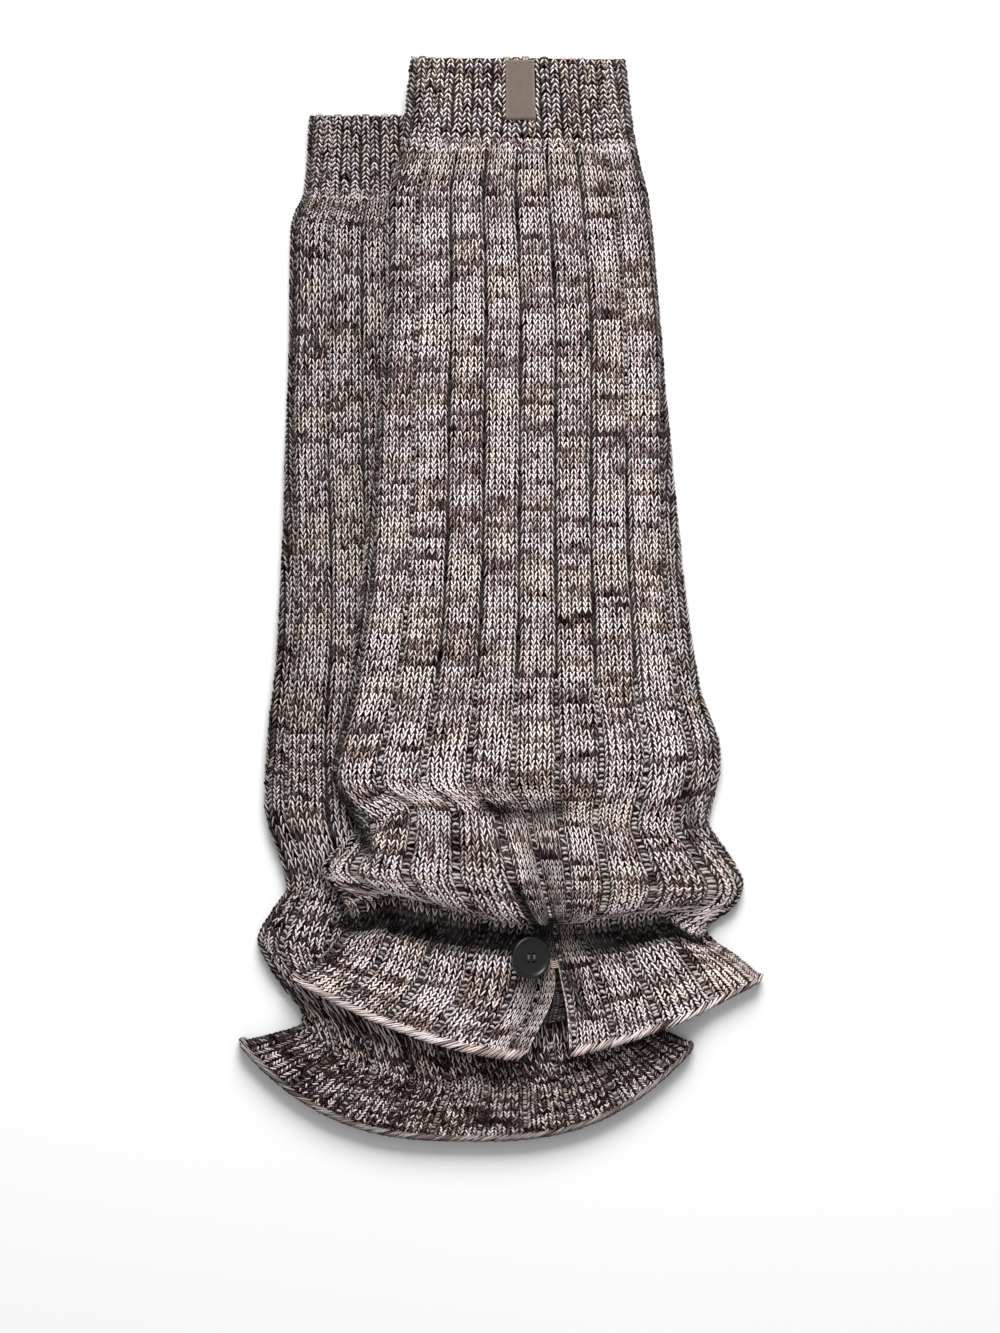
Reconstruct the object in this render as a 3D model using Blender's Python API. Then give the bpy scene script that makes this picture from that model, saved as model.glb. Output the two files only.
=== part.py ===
"""A pair of ribbed knit leg warmers, laid flat with one over the other, cuffs away from the viewer.

Each warmer is a flattened tube of knitted cloth in a wide rib, with a narrow cuff in a fine rib at one
end and, at the foot, gathers that end in a flared hem with a rolled edge. The front warmer has a short
slit in its hem under a four-hole button, and a bare woven label on its cuff.

+X is to the right across the warmers, +Y runs up the leg to the cuffs, +Z is up off the table.
The origin is on the table, under the middle of the pair. Sizes are in millimetres.
"""

import math

import bmesh
import bpy
import numpy as np

MM = 0.001
MIDDLE_X = 0.65  # the middle of the pair, as its rows are set out below

# Cloth
HALF_WALL = 0.9
RIB_HEIGHT = 0.8
CUFF_RIB_HEIGHT = 0.45
SIDE_TURN = 2.0  # radius of the cloth's middle where a tube folds over at its sides
PANEL_SINK = 1.2  # how far the upper panel lies closer to the lower one, away from the sides
SINK_FROM, SINK_TO = 2.0, 16.0  # distance from the side fold over which it sinks
SEAM_GAP = 0.3
CUFF_GAP, HEM_GAP = 0.6, 0.8  # measured along the cloth's middle, so that ribs and roll keep clear too
PROBE = 0.4  # step along the cloth that its slope is read over

# Parts of a warmer, measured along the cloth from the edge of the cuff
CUFF_LENGTH = 40.0
CUFF_EDGE, CUFF_EDGE_HALF_WALL = 1.6, 0.63  # the cuff thins over its first stretch
CLOTH_LENGTH = 472.0
HEM_WIDTH = 4.0
# How far down the hem, and half its wall there
HEM_ROLL = ((0.0, 0.9), (0.7, 1.38), (2.0, 1.5), (3.3, 1.38), (4.0, 0.72))
FLARE_FROM, FLARE_REACH = 440.0, 26.0  # where the upper panel comes up again towards the hem

# Ribs on the upper panel
LEG_RIBS = 8
CUFF_RIBS = 24
LEG_RIB = ((0.0, 0.0), (0.17, 1.0), (0.83, 1.0))  # share of a rib's width, and how high it stands there
CUFF_RIB = ((0.0, 0.0), (0.5, 1.0))
RIB_FADE_FROM, RIB_FADE_REACH = -4.0, 12.0  # how the leg's ribs fade in below the cuff

# How the front warmer rests on the rear one
STACK_HEIGHT = 6.95
STACK_TOP, STACK_TOP_EDGE = 200.0, 20.0  # a place up the leg, and the rear one's right side there
STACK_FOOT, STACK_FOOT_EDGE = -160.0, 72.0
STACK_SLOPE = 22.0  # the width over which it comes down to the table past that side
CORNER_X, CORNER_Y = -84.0, -163.0  # where its hem's left corner lies on the rear one's fold
CORNER_RISE, CORNER_REACH = 3.0, 22.0

# The tuck under the fold at the foot
TUCK_ALONG, TUCK_REACH = 407.0, 14.0

# Slit in the front hem, with places across the upper panel from -1, left, to 1, right
SLIT_ALONG = 431.0
SLIT_AT = 0.14
SLIT_HAIR = 0.006
SLIT_LEFT, SLIT_RIGHT = 0.0, 0.18  # where its two edges are at the hem
SLIT_CLEAR = 4.0  # no other row lies this close to its top
BACK_SHORT, BACK_SHORT_WIDTH = 17.0, 0.5  # how much higher the lower panel's hem is behind the slit
BACK_SHORT_FROM = 415.0

# Label and button
LABEL_LEFT, LABEL_RIGHT = -0.12, 0.16
LABEL_TOP, LABEL_FOOT = 0.6, 28.0
LABEL_THICK = 1.0
BUTTON_X, BUTTON_Y, BUTTON_Z = 14.0, -160.6, 18.1
BUTTON_TILT = math.radians(27.0)  # its left side is the higher one
BUTTON_THICK = 3.2
# Radius, and height over its middle, from the dished face round to the back
BUTTON_PROFILE = (
    (0.0, 0.7), (6.6, 0.7), (7.4, 1.3), (8.45, 1.6), (9.1, 1.3),
    (9.5, 0.6), (8.9, -1.0), (7.5, -1.6), (0.0, -1.6),
)
BUTTON_SIDES = 28
BUTTON_HOLE_RADIUS, BUTTON_HOLE_FROM_MIDDLE = 0.95, 2.0
THREAD_RADIUS, THREAD_WAIST = 1.1, 0.8
THREAD_SIDES = 10
THREAD_ALONG, THREAD_AT = 435.0, 0.03  # the place on the upper panel under the button's middle

# Each row of cloth: how far along it lies, its left and right ends in plan, how far its middle hangs
# below the line between them, then how much the upper panel lifts and how far it leans to the hem,
# at the row's left, middle and right.
COLUMNS = (
    "along", "left_x", "left_y", "right_x", "right_y", "dip",
    "lift_left", "lift_mid", "lift_right", "lean_left", "lean_mid", "lean_right",
)
FRONT_ROWS = (
    (0.0, -40.0, 243.5, 56.5, 243.5, 0.0, 0.0, 0.0, 0.0, 0.0, 0.0, 0.0),  # cuff edge
    (40.0, -44.0, 204.0, 61.5, 204.0, 0.0, 0.0, 0.0, 0.0, 0.0, 0.0, 0.0),  # cuff seam
    (64.0, -50.0, 180.0, 67.0, 180.0, 0.0, 0.0, 0.0, 0.0, 0.0, 0.0, 0.0),  # shoulder
    (109.0, -50.5, 135.0, 71.5, 135.0, 0.0, 0.0, 0.0, 0.0, 0.0, 0.0, 0.0),
    (154.0, -54.0, 90.0, 75.0, 90.0, 0.0, 0.0, 0.0, 0.0, 0.0, 0.0, 0.0),
    (199.0, -58.0, 45.0, 79.0, 45.0, 0.0, 0.0, 0.0, 0.0, 0.0, 0.0, 0.0),
    (244.0, -62.5, 0.0, 84.0, 0.0, 0.0, 0.0, 0.0, 0.0, 0.0, 0.0, 0.0),
    (285.0, -67.5, -41.0, 90.0, -40.0, 1.0, 0.5, 0.0, 1.0, 0.0, 0.0, 0.0),
    (320.0, -75.0, -79.0, 99.5, -72.0, 2.0, 3.5, 3.0, 4.5, 0.0, 0.0, 0.0),  # full part of the leg
    (345.0, -63.5, -102.0, 94.0, -100.0, -2.0, 0.5, 0.2, 0.5, 12.0, 3.5, -2.5),  # valley
    (362.0, -71.0, -112.0, 102.0, -114.0, 1.0, 7.0, 9.0, 8.0, 3.0, 0.0, -1.0),
    (378.0, -79.5, -121.0, 109.5, -128.0, 3.0, 9.5, 12.0, 10.5, 0.0, -2.0, 0.0),  # crest of the fold
    (390.0, -77.5, -125.0, 107.5, -134.0, 5.0, 8.6, 11.2, 9.6, 0.5, -7.0, 1.0),
    (399.0, -74.0, -129.0, 103.0, -139.0, 7.0, 5.6, 8.0, 6.6, 2.5, -5.0, 3.0),  # nose of the fold
    (404.0, -71.5, -132.0, 97.5, -143.0, 8.0, 3.8, 4.8, 4.2, 5.5, 0.5, 7.0),  # under the nose
    (408.0, -69.5, -135.0, 94.0, -146.5, 8.8, 2.2, 2.6, 2.4, 8.5, 6.0, 10.0),  # inmost tuck
    (412.0, -69.0, -138.0, 93.0, -149.0, 10.5, 0.4, 0.4, 0.4, 10.0, 9.0, 11.5),
    (422.0, -70.5, -146.0, 96.0, -153.5, 17.0, 0.0, 0.0, 0.0, 8.0, 12.0, 10.0),
    (446.0, -78.5, -160.5, 108.5, -163.0, 27.0, 1.2, 0.0, 0.8, 3.0, 7.5, 4.0),
    (472.0, -95.0, -171.5, 119.5, -172.5, 35.5, 0.4, 0.4, 0.4, 0.0, 0.0, 0.0),  # hem
)
REAR_ROWS = (
    (0.0, -85.5, 218.0, 11.5, 218.0, 0.0, 0.0, 0.0, 0.0, 0.0, 0.0, 0.0),  # cuff edge
    (40.0, -88.0, 183.0, 17.0, 180.0, 0.0, 0.0, 0.0, 0.0, 0.0, 0.0, 0.0),  # cuff seam
    (64.0, -93.5, 168.0, 23.0, 157.0, 0.0, 0.0, 0.0, 0.0, 0.0, 0.0, 0.0),  # shoulder
    (109.0, -94.5, 113.0, 27.0, 113.0, 0.0, 0.0, 0.0, 0.0, 0.0, 0.0, 0.0),
    (154.0, -96.0, 68.0, 30.0, 68.0, 0.0, 0.0, 0.0, 0.0, 0.0, 0.0, 0.0),
    (199.0, -97.5, 23.0, 34.0, 23.0, 0.0, 0.0, 0.0, 0.0, 0.0, 0.0, 0.0),
    (244.0, -100.0, -22.0, 39.0, -22.0, 0.0, 0.0, 0.0, 0.0, 0.0, 0.0, 0.0),
    (285.0, -104.5, -66.0, 46.0, -66.0, 1.0, 0.5, 0.0, 0.0, 0.0, 0.0, 0.0),
    (320.0, -105.5, -92.0, 54.0, -98.0, 2.0, 2.0, 0.0, 0.0, 0.0, 0.0, 0.0),  # full part of the leg
    (345.0, -95.5, -128.5, 48.0, -128.0, 2.0, 0.4, 0.0, 0.0, 2.0, 0.0, 0.0),  # valley
    (362.0, -102.0, -141.0, 58.0, -141.0, 3.0, 3.5, 0.0, 0.0, 1.0, 0.0, 0.0),
    (378.0, -108.5, -153.0, 66.0, -154.0, 5.0, 6.0, 0.0, 0.0, -1.5, 0.0, 0.0),  # crest of the fold
    (390.0, -105.5, -160.5, 64.0, -163.0, 8.0, 5.0, 0.0, 0.0, -1.0, 0.0, 0.0),
    (399.0, -99.5, -170.5, 61.0, -172.0, 12.0, 1.5, 0.0, 0.0, 0.0, 0.0, 0.0),
    (409.0, -88.5, -186.5, 62.0, -187.0, 17.0, 0.3, 0.0, 0.0, 0.0, 0.0, 0.0),  # inmost tuck
    (422.0, -89.5, -192.5, 69.0, -193.5, 23.0, 0.0, 0.0, 0.0, 0.0, 0.0, 0.0),
    (446.0, -103.0, -197.5, 79.0, -198.5, 31.0, 0.8, 0.0, 0.0, 0.0, 0.0, 0.0),
    (472.0, -119.5, -201.5, 89.5, -203.0, 41.5, 0.4, 0.4, 0.4, 0.0, 0.0, 0.0),  # hem
)

# Where across the upper panel a row's five lifts and leans hold: its side, left, middle, right and side
FRONT_PLACES = (-1.0, -0.76, 0.0, 0.76, 1.0)
REAR_PLACES = (-1.0, -0.86, -0.62, 0.5, 1.0)

# Gathers that run off the button and up from the hem: from_x, from_y, to_x, to_y, height, half_width
FRONT_GATHERS = (
    (-32.0, -78.0, 8.0, -146.0, 2.4, 7.0),
    (-2.0, -124.0, 28.0, -160.0, 2.2, 6.0),
    (-67.0, -142.0, -88.0, -168.0, 2.2, 5.0),
    (2.0, -164.0, -14.0, -192.0, 1.6, 6.0),
    (34.0, -166.0, 62.0, -186.0, 1.4, 6.0),
)
REAR_GATHERS = (
    (-100.0, -134.0, -92.0, -168.0, 1.2, 5.0),
    (-84.0, -190.0, -92.0, -214.0, 1.2, 5.0),
)

GATHER_TAPER, GATHER_PAST = 0.45, 0.1  # shares of a gather's length: its tapers, and how far they run past it
GATHER_CLEAR = 14.0  # gathers fade away this near to a side

# Places across the lower panels: the front one's are closer together where it comes down to the table
FRONT_LOWER = (1.0, 0.92, 0.84, 0.76, 0.68, 0.6, 0.52, 0.44, 0.36, 0.26, 0.1, -0.3, -0.65, -1.0)
REAR_LOWER = (1.0, 0.65, 0.3, -0.05, -0.4, -0.7, -1.0)

# How each warmer is set out: its rows, its gathers, the bow of its rows and whether it lies on the other
WARMERS = {
    "front": {
        "rows": FRONT_ROWS, "places": FRONT_PLACES, "gathers": FRONT_GATHERS,
        "lower": FRONT_LOWER, "bow": 1.7, "stacked": True,
    },
    "rear": {
        "rows": REAR_ROWS, "places": REAR_PLACES, "gathers": REAR_GATHERS,
        "lower": REAR_LOWER, "bow": 2.8, "stacked": False,
    },
}

# Rows of faces along a leg: as far as this, in steps of this
FRONT_STEPS = ((300.0, 26.0), (372.0, 9.0), (424.0, 3.8), (466.0, 9.5))
REAR_STEPS = ((300.0, 32.0), (372.0, 10.0), (424.0, 6.5), (466.0, 11.0))
TURN_ANGLES = (50.0, 0.0, -50.0)

YARN = (0.27, 0.22, 0.21)
REAR_YARN = (0.21, 0.17, 0.16)
HEM_YARN = (0.36, 0.31, 0.30)
LABEL_CLOTH = (0.29, 0.22, 0.18)
BUTTON_RESIN = (0.018, 0.018, 0.019)
THREAD = (0.05, 0.05, 0.055)


def steady_slopes(knots, values):
    """Slopes at the knots of a smooth curve through the values that never overshoots them."""
    widths = np.diff(knots)
    rises = np.diff(values) / widths
    slopes = np.zeros(len(knots))
    slopes[0], slopes[-1] = rises[0], rises[-1]
    for i in range(1, len(knots) - 1):
        before, after = rises[i - 1], rises[i]
        if before * after > 0:
            heavy = 2 * widths[i] + widths[i - 1]
            light = widths[i] + 2 * widths[i - 1]
            slopes[i] = (heavy + light) / (heavy / before + light / after)
    return slopes


def smooth_curve(knots, values, at):
    """The smooth curve through the values at the knots, read at other places."""
    knots, values, at = np.asarray(knots), np.asarray(values), np.asarray(at)
    slopes = steady_slopes(knots, values)
    i = np.clip(np.searchsorted(knots, at, side="right") - 1, 0, len(knots) - 2)
    width = knots[i + 1] - knots[i]
    t = (at - knots[i]) / width
    start = (1 + 2 * t) * (1 - t) ** 2 * values[i] + t * (1 - t) ** 2 * width * slopes[i]
    end = t * t * (3 - 2 * t) * values[i + 1] + t * t * (t - 1) * width * slopes[i + 1]
    return start + end


def ease(t):
    """0 to 1 with a soft start and end."""
    t = np.clip(t, 0.0, 1.0)
    return t * t * (3 - 2 * t)


def column(rows, name, along):
    table = np.array(rows)
    return smooth_curve(table[:, 0], table[:, COLUMNS.index(name)], along)


def across(places, values, u):
    """Eases from value to value between the places across a panel."""
    total = np.zeros(np.broadcast(values[0], u).shape) + values[0]
    for i in range(len(places) - 1):
        step = ease((u - places[i]) / (places[i + 1] - places[i]))
        total = total + (values[i + 1] - values[i]) * step
    return total


def table_height(warmer, x, y):
    """The height that the underside of a warmer rests at: the table, or the warmer below it."""
    if not warmer["stacked"]:
        return np.zeros(np.shape(x))
    down_the_leg = np.maximum((STACK_TOP - y) / (STACK_TOP - STACK_FOOT), 0.0)
    edge = STACK_TOP_EDGE + (STACK_FOOT_EDGE - STACK_TOP_EDGE) * down_the_leg
    away = np.hypot(x - CORNER_X, y - CORNER_Y) / CORNER_REACH
    return STACK_HEIGHT * (1 - ease((x - edge) / STACK_SLOPE)) + CORNER_RISE * np.exp(-(away**2))


def gather_height(warmer, x, y):
    """The height that the gathers add at a place in plan."""
    total = np.zeros(np.shape(x))
    for from_x, from_y, to_x, to_y, height, half_width in warmer["gathers"]:
        run_x, run_y = to_x - from_x, to_y - from_y
        length = math.hypot(run_x, run_y)
        t = ((x - from_x) * run_x + (y - from_y) * run_y) / length**2
        aside = ((x - from_x) * run_y - (y - from_y) * run_x) / length
        taper = ease((t + GATHER_PAST) / GATHER_TAPER) * ease((1 + GATHER_PAST - t) / GATHER_TAPER)
        total = total + height * taper * np.exp(-((aside / half_width) ** 2))
    return total


def plan(warmer, along, u):
    """The place in plan of a place across a row of cloth."""
    rows = warmer["rows"]
    names = ("left_x", "left_y", "right_x", "right_y", "dip")
    left_x, left_y, right_x, right_y, dip = (column(rows, name, along) for name in names)
    inset = SIDE_TURN + HALF_WALL
    left_x, right_x = left_x + inset, right_x - inset
    share = (u + 1) / 2
    bow = np.abs(u) ** warmer["bow"]
    return left_x + (right_x - left_x) * share, left_y + (right_y - left_y) * share - dip * (1 - bow)


def sides(warmer, along, name, u):
    """A lift or a lean of the upper panel at a place on a row, nothing at the sides."""
    rows = warmer["rows"]
    left, mid, right = (column(rows, f"{name}_{where}", along) for where in ("left", "mid", "right"))
    none = np.zeros(np.shape(left))
    return across(warmer["places"], (none, left, mid, right, none), u)


def upper_panel(warmer, along, u):
    """The middle of the upper panel's cloth."""
    x, y = plan(warmer, along, u)
    rows = warmer["rows"]
    half_width = (column(rows, "right_x", along) - column(rows, "left_x", along)) / 2
    from_side = (1 - np.abs(u)) * half_width
    sink = PANEL_SINK * ease((from_side - SINK_FROM) / (SINK_TO - SINK_FROM))
    sink = sink * (1 - ease((along - FLARE_FROM) / FLARE_REACH))
    leaned_y = y + sides(warmer, along, "lean", u)
    inside = ease(from_side / GATHER_CLEAR)
    z = table_height(warmer, x, leaned_y) + HALF_WALL + 2 * SIDE_TURN - sink
    z = z + sides(warmer, along, "lift", u) + inside * gather_height(warmer, x, leaned_y)
    return np.stack([x + 0 * z, leaned_y + 0 * z, z], axis=-1)


def lower_panel(warmer, along, u):
    """The middle of the lower panel's cloth."""
    x, y = plan(warmer, along, u)
    if warmer["stacked"]:
        behind = ease(1 - np.abs(u - SLIT_AT) / BACK_SHORT_WIDTH)
        y = y + BACK_SHORT * behind * ease((along - BACK_SHORT_FROM) / (CLOTH_LENGTH - BACK_SHORT_FROM))
    z = table_height(warmer, x, y) + HALF_WALL
    return np.stack([x + 0 * z, y + 0 * z, z], axis=-1)


def side_fold(warmer, along, side, angle):
    """The middle of the cloth where it turns from panel to panel, on the left, -1, or the right, 1.

    It bulges straight out of the side, square to the way that the side runs in plan.
    """
    x, y = plan(warmer, along, side)
    before, after = plan(warmer, along - PROBE, side), plan(warmer, along + PROBE, side)
    down_x, down_y = after[0] - before[0], after[1] - before[1]
    reach = side * SIDE_TURN * math.cos(math.radians(angle)) / np.hypot(down_x, down_y)
    z = table_height(warmer, x, y) + HALF_WALL + SIDE_TURN + SIDE_TURN * math.sin(math.radians(angle))
    return np.stack([x - reach * down_y, y + reach * down_x, z], axis=-1)


def rib_places(ribs, profile):
    """Places across the upper panel, from -1 to 1, and how high the rib stands at each, from 0 to 1."""
    places = [(2 * (rib + share) / ribs - 1, height) for rib in range(ribs) for share, height in profile]
    return places + [(1.0, 0.0)]


def with_slit(places):
    """The places with two more, a hair apart, for the two edges of the slit."""
    outside = [place for place in places if abs(place[0] - SLIT_AT) > 3 * SLIT_HAIR]
    edges = [(SLIT_AT - SLIT_HAIR, 1.0), (SLIT_AT + SLIT_HAIR, 1.0)]
    return sorted(outside + edges)


def slit_spread(along, u):
    """Where a place across the panel goes to as the slit opens towards the hem."""
    opening = ease((along - SLIT_ALONG) / (CLOTH_LENGTH - SLIT_ALONG))
    left_edge = SLIT_AT - SLIT_HAIR + (SLIT_LEFT - SLIT_AT + SLIT_HAIR) * opening
    right_edge = SLIT_AT + SLIT_HAIR + (SLIT_RIGHT - SLIT_AT - SLIT_HAIR) * opening
    left = -1 + (u + 1) * (left_edge + 1) / (SLIT_AT - SLIT_HAIR + 1)
    right = 1 - (1 - u) * (1 - right_edge) / (1 - SLIT_AT - SLIT_HAIR)
    return np.where(u < SLIT_AT, left, right)


def tube(warmer, along, places, slit=False):
    """The middle of the cloth for rows of a whole tube.

    Round the tube run the upper panel from left to right, the right side fold, the lower panel from
    right to left and the left side fold.
    """
    rows = along[:, None]
    upper = np.array([place for place, _ in places])[None, :]
    upper = slit_spread(rows, upper) if slit else upper + 0 * rows
    lower = np.array(warmer["lower"])[None, :] + 0 * rows
    right = [side_fold(warmer, rows, 1, angle) for angle in TURN_ANGLES]
    left = [side_fold(warmer, rows, -1, angle) for angle in reversed(TURN_ANGLES)]
    points = [upper_panel(warmer, rows, upper), *right, lower_panel(warmer, rows, lower), *left]
    return np.concatenate(points, axis=1)


def rib_round(warmer, places):
    """The height of the ribs, from 0 to 1, at each place round a tube: only the upper panel has them."""
    plain = [0.0] * (len(TURN_ANGLES) * 2 + len(warmer["lower"]))
    return np.array([height for _, height in places] + plain)


def outward(cloth, along, wraps):
    """The middle of the cloth, and the way out of it, at each point of a grid whose rows may be rings.

    cloth gives the middle of the cloth for a column of rows.
    """
    rows = np.asarray(along, dtype=float)
    points = cloth(rows)
    down = cloth(rows + PROBE) - cloth(rows - PROBE)
    if wraps:
        run = np.roll(points, -1, axis=1) - np.roll(points, 1, axis=1)
    else:
        run = np.gradient(points, axis=1)
    normal = np.cross(down, run)
    return points, normal / np.linalg.norm(normal, axis=-1, keepdims=True)


def wall_mesh(name, outer, inner, wraps, gaps=()):
    """A closed wall between two grids. gaps holds the faces, by row and place, that are left open."""
    rows, places = outer.shape[:2]
    count = rows * places
    spans = places if wraps else places - 1
    open_faces = set(gaps)
    faces, edges = [], {}

    def corner(row, place, layer):
        return layer * count + row * places + place % places

    for row in range(rows - 1):
        for place in range(spans):
            if (row, place) in open_faces:
                continue
            beside = (place + 1) % places
            loop = [(row, place), (row + 1, place), (row + 1, beside), (row, beside)]
            faces.append([corner(*at, 0) for at in loop])
            faces.append([corner(*at, 1) for at in reversed(loop)])
            for start, end in zip(loop, loop[1:] + loop[:1]):
                edges[(start, end)] = edges.get((start, end), 0) + 1
    for start, end in edges:
        if (end, start) not in edges:
            faces.append([corner(*end, 0), corner(*start, 0), corner(*start, 1), corner(*end, 1)])
    mesh = bpy.data.meshes.new(name)
    mesh.from_pydata(np.concatenate([outer.reshape(-1, 3), inner.reshape(-1, 3)]) * MM, [], faces)
    mesh.validate()
    drop_loose_points(mesh)
    return mesh


def drop_loose_points(mesh):
    form = bmesh.new()
    form.from_mesh(mesh)
    bmesh.ops.delete(form, geom=[vert for vert in form.verts if not vert.link_faces], context="VERTS")
    form.to_mesh(mesh)
    form.free()


def material(name, colour, roughness, metallic=0.0):
    finish = bpy.data.materials.new(name)
    finish.use_nodes = True
    shader = finish.node_tree.nodes["Principled BSDF"]
    shader.inputs["Base Color"].default_value = (*colour, 1.0)
    shader.inputs["Roughness"].default_value = roughness
    shader.inputs["Metallic"].default_value = metallic
    finish.diffuse_color = (*colour, 1.0)
    return finish


def add_object(name, mesh, finish, smooth_under=40.0):
    item = bpy.data.objects.new(name, mesh)
    bpy.context.scene.collection.objects.link(item)
    mesh.materials.append(finish)
    mesh.shade_smooth()
    mesh.set_sharp_from_angle(angle=math.radians(smooth_under))
    return item


def thickened(warmer, rows, places, half_wall, rib_height, slit=False):
    """The outer and inner faces of a tube: ribs or a roll stand on the outer one, and the inner is plain."""
    points, normal = outward(lambda along: tube(warmer, along, places, slit), rows, wraps=True)
    half = np.asarray(half_wall)[:, None, None]
    ribs = np.asarray(rib_height)[:, None, None] * rib_round(warmer, places)[None, :, None]
    return points + normal * (half + ribs), points - normal * np.minimum(half, HALF_WALL)


def stepped(start, steps):
    """Rows from the start on, at the steps given, each stretch divided evenly."""
    rows = [start]
    for end, step in steps:
        count = max(1, round((end - rows[-1]) / step))
        first = rows[-1]
        rows += [first + (end - first) * (i + 1) / count for i in range(count)]
    return rows


def make_cuff(side, warmer, finish):
    rows = [0.0, CUFF_EDGE, CUFF_LENGTH / 2, CUFF_LENGTH]
    half_wall = [CUFF_EDGE_HALF_WALL, HALF_WALL, HALF_WALL, HALF_WALL]
    places = rib_places(CUFF_RIBS, CUFF_RIB)
    outer, inner = thickened(warmer, rows, places, half_wall, [CUFF_RIB_HEIGHT] * len(rows))
    return add_object(f"{side}_cuff", wall_mesh(f"{side}_cuff", outer, inner, wraps=True), finish)


def leg_rib_height(row):
    """How far the leg's ribs stand up: they fade in below the cuff and are pressed flat in the tuck."""
    below_cuff = ease((row - CUFF_LENGTH - RIB_FADE_FROM) / RIB_FADE_REACH)
    in_tuck = ease(1 - abs(row - TUCK_ALONG) / TUCK_REACH)
    return RIB_HEIGHT * below_cuff * (1 - in_tuck)


def make_leg(side, warmer, steps, finish, slit):
    last = CLOTH_LENGTH - HEM_WIDTH - HEM_GAP
    rows = stepped(CUFF_LENGTH + CUFF_GAP, [*steps[:-1], (last, steps[-1][1])])
    if slit:
        rows = sorted([row for row in rows if abs(row - SLIT_ALONG) > SLIT_CLEAR] + [SLIT_ALONG])
    places = rib_places(LEG_RIBS, LEG_RIB)
    places = with_slit(places) if slit else places
    rib_height = [leg_rib_height(row) for row in rows]
    outer, inner = thickened(warmer, rows, places, [HALF_WALL] * len(rows), rib_height, slit)
    gaps = slit_faces(rows, places) if slit else ()
    return add_object(f"{side}_leg", wall_mesh(f"{side}_leg", outer, inner, True, gaps), finish)


def slit_faces(rows, places):
    """The faces between the slit's two edges, from its top to the hem."""
    edge = [place for place, _ in places].index(SLIT_AT - SLIT_HAIR)
    return [(i, edge) for i, row in enumerate(rows[:-1]) if row >= SLIT_ALONG - 0.01]


def make_hem(side, warmer, finish, slit):
    """The rolled edge round the hem, which stands out on the cloth's outer face only."""
    rows = [CLOTH_LENGTH - HEM_WIDTH + down for down, _ in HEM_ROLL]
    half_wall = [half for _, half in HEM_ROLL]
    places = rib_places(LEG_RIBS, LEG_RIB)
    places = with_slit(places) if slit else places
    outer, inner = thickened(warmer, rows, places, half_wall, [0.0] * len(rows), slit)
    outer[..., 2] = np.maximum(outer[..., 2], table_height(warmer, outer[..., 0], outer[..., 1]))
    gaps = slit_faces([SLIT_ALONG + i for i in range(len(rows))], places) if slit else ()
    return add_object(f"{side}_hem", wall_mesh(f"{side}_hem", outer, inner, True, gaps), finish)


def make_label(warmer, finish):
    rows = np.linspace(LABEL_TOP, LABEL_FOOT, 5)
    places = np.linspace(LABEL_LEFT, LABEL_RIGHT, 5)[None, :]
    points, normal = outward(lambda along: upper_panel(warmer, along[:, None], places), rows, wraps=False)
    base = HALF_WALL + CUFF_RIB_HEIGHT + SEAM_GAP
    inner, outer = points + normal * base, points + normal * (base + LABEL_THICK)
    return add_object("front_label", wall_mesh("front_label", outer, inner, wraps=False), finish)


def set_at_button(item):
    """Puts an item at the button's middle, leaning to the right as the button does."""
    item.location = (BUTTON_X * MM, BUTTON_Y * MM, BUTTON_Z * MM)
    item.rotation_euler = (0.0, BUTTON_TILT, 0.0)


def lathe(name, profile, sides):
    """A round solid turned about Z from (radius, height) pairs, top first, that start and end on the axis."""
    form = bmesh.new()
    top = form.verts.new((0, 0, profile[0][1] * MM))
    foot = form.verts.new((0, 0, profile[-1][1] * MM))
    ways = [(math.cos(2 * math.pi * i / sides), math.sin(2 * math.pi * i / sides)) for i in range(sides)]
    rings = []
    for radius, height in profile[1:-1]:
        rings.append([form.verts.new((radius * MM * x, radius * MM * y, height * MM)) for x, y in ways])
    for i in range(sides):
        j = (i + 1) % sides
        form.faces.new((top, rings[0][i], rings[0][j]))
        for upper, lower in zip(rings, rings[1:]):
            form.faces.new((upper[i], lower[i], lower[j], upper[j]))
        form.faces.new((foot, rings[-1][j], rings[-1][i]))
    mesh = bpy.data.meshes.new(name)
    form.to_mesh(mesh)
    form.free()
    return mesh


def hole_cutter(index):
    """A rod for one of the button's four holes."""
    angle = math.radians(45.0 + 90.0 * index)
    depth = 3 * BUTTON_THICK
    bpy.ops.mesh.primitive_cylinder_add(vertices=10, radius=BUTTON_HOLE_RADIUS * MM, depth=depth * MM)
    cutter = bpy.context.active_object
    cutter.name = f"hole_cutter_{index}"
    reach = BUTTON_HOLE_FROM_MIDDLE * MM
    for vert in cutter.data.vertices:
        vert.co.x += reach * math.cos(angle)
        vert.co.y += reach * math.sin(angle)
    cutter.hide_render = True
    cutter.display_type = "WIRE"
    set_at_button(cutter)
    return cutter


def make_button(finish):
    button = add_object("front_button", lathe("front_button", BUTTON_PROFILE, BUTTON_SIDES), finish)
    set_at_button(button)
    for index in range(4):
        hole = button.modifiers.new(f"hole_{index}", "BOOLEAN")
        hole.operation = "DIFFERENCE"
        hole.object = hole_cutter(index)
    return button


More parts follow.
